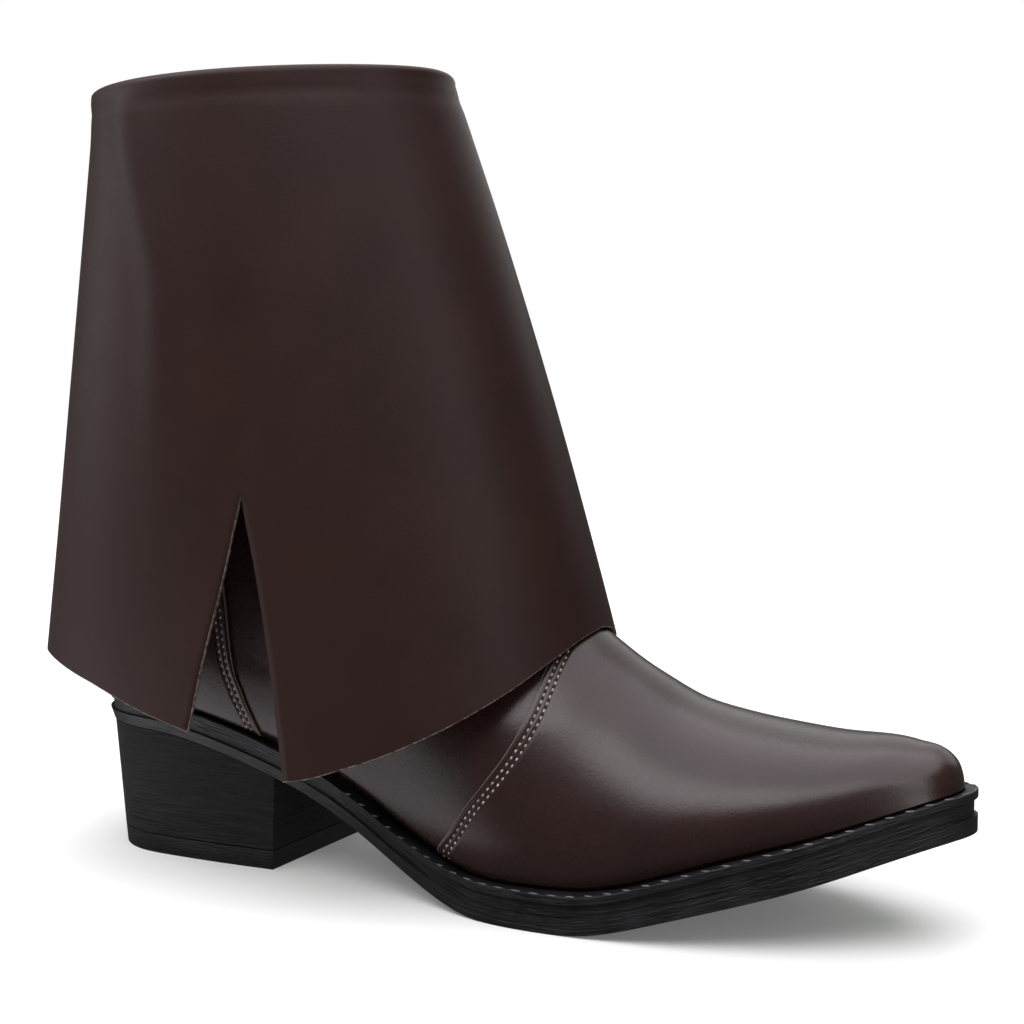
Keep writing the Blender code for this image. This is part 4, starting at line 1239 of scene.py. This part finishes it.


# Studio: a pale floor under a white world, a wide overhead light, and four softboxes: back left, front,
# behind and front right. A card on the floor at the left glows by its own emission and shows only in
# reflections, as painted light in the leather's gloss.

bpy.ops.mesh.primitive_plane_add(size=8.0, location=(0, 0, 0))
floor = bpy.context.object
floor.name = "floor"
pale_paper, tree, shader = new_material("pale_paper")
shader.inputs["Base Color"].default_value = (0.575, 0.60, 0.57, 1.0)
shader.inputs["Roughness"].default_value = 1.0
shader.inputs["Specular IOR Level"].default_value = 0.0
shader.inputs["Emission Color"].default_value = (1.0, 1.0, 1.0, 1.0)
shader.inputs["Emission Strength"].default_value = 0.12
floor.data.materials.append(pale_paper)
floor.visible_glossy = False

bpy.ops.mesh.primitive_plane_add(size=1.0, location=(-0.28, -0.22, 0.001))
card = bpy.context.object
card.name = "glowing_card"
card.data.transform(Matrix.Diagonal((0.60, 0.36, 1.0, 1.0)))
glowing_card_paper, tree, shader = new_material("glowing_card_paper")
shader.inputs["Base Color"].default_value = (0.8, 0.8, 0.8, 1.0)
shader.inputs["Specular IOR Level"].default_value = 0.0
# The card glows, though it is no lamp: its emission is seen only in reflections.
shader.inputs["Emission Color"].default_value = (1.0, 0.97, 0.99, 1.0)
shader.inputs["Emission Strength"].default_value = 0.5
card.data.materials.append(glowing_card_paper)
card.visible_camera = False
card.visible_diffuse = False
card.visible_shadow = False

world = bpy.data.worlds.new("studio")
world.use_nodes = True
tree = world.node_tree
dim = tree.nodes["Background"]
dim.inputs["Color"].default_value = (1.0, 1.0, 1.0, 1.0)
dim.inputs["Strength"].default_value = 0.12
white = add_node(tree, "ShaderNodeBackground", {"Color": (1.0, 1.0, 1.0, 1.0)})
seen = add_node(tree, "ShaderNodeLightPath", {})
either = add_node(tree, "ShaderNodeMixShader", {}, [(0, seen.outputs["Is Camera Ray"]),
                                                    (1, dim.outputs["Background"]),
                                                    (2, white.outputs["Background"])])
tree.links.new(either.outputs["Shader"], tree.nodes["World Output"].inputs["Surface"])
bpy.context.scene.world = world
bpy.context.scene.view_settings.view_transform = "Standard"


def aim_light(light, place, target):
    light.location = place
    light.rotation_euler = (Vector(target) - Vector(place)).to_track_quat("-Z", "Y").to_euler()


def softbox(name, place, target, wide, high, power):
    bpy.ops.object.light_add(type="AREA")
    light = bpy.context.object
    light.name = name
    light.data.shape = "RECTANGLE"
    light.data.size = wide
    light.data.size_y = high
    light.data.energy = power
    aim_light(light, place, target)


bpy.ops.object.light_add(type="SUN")
sky = bpy.context.object
sky.name = "overhead"
sky.data.energy = 5.1
sky.data.angle = math.radians(90)
sky.data.color = (0.985, 0.935, 1.0)
aim_light(sky, (-0.12, -0.14, 1.0), (0.0, 0.0, 0.0))
softbox("back_left", (-0.86, -0.14, 0.54), (0.0, 0.0, 0.13), 0.4, 0.9, 2.3)
softbox("front", (0.06, -0.72, 0.98), (0.14, -0.03, 0.05), 0.8, 0.5, 3.4)
softbox("backdrop", (0.20, 1.05, 0.85), (0.12, 0.0, 0.10), 1.7, 1.0, 6.5)
softbox("front_right", (0.90, -0.56, 0.52), (0.08, 0.0, 0.12), 0.35, 0.8, 3.2)

camera_data = bpy.data.cameras.new("camera")
camera_data.lens = 62.285
camera_data.sensor_width = 36.0
camera = bpy.data.objects.new("camera", camera_data)
bpy.context.scene.collection.objects.link(camera)
camera.location = (0.33395, -0.46200, 0.15173)
view = Vector((0.10372, -0.00242, 0.10952)) - camera.location
camera.rotation_euler = view.to_track_quat("-Z", "Y").to_euler()
bpy.context.scene.camera = camera
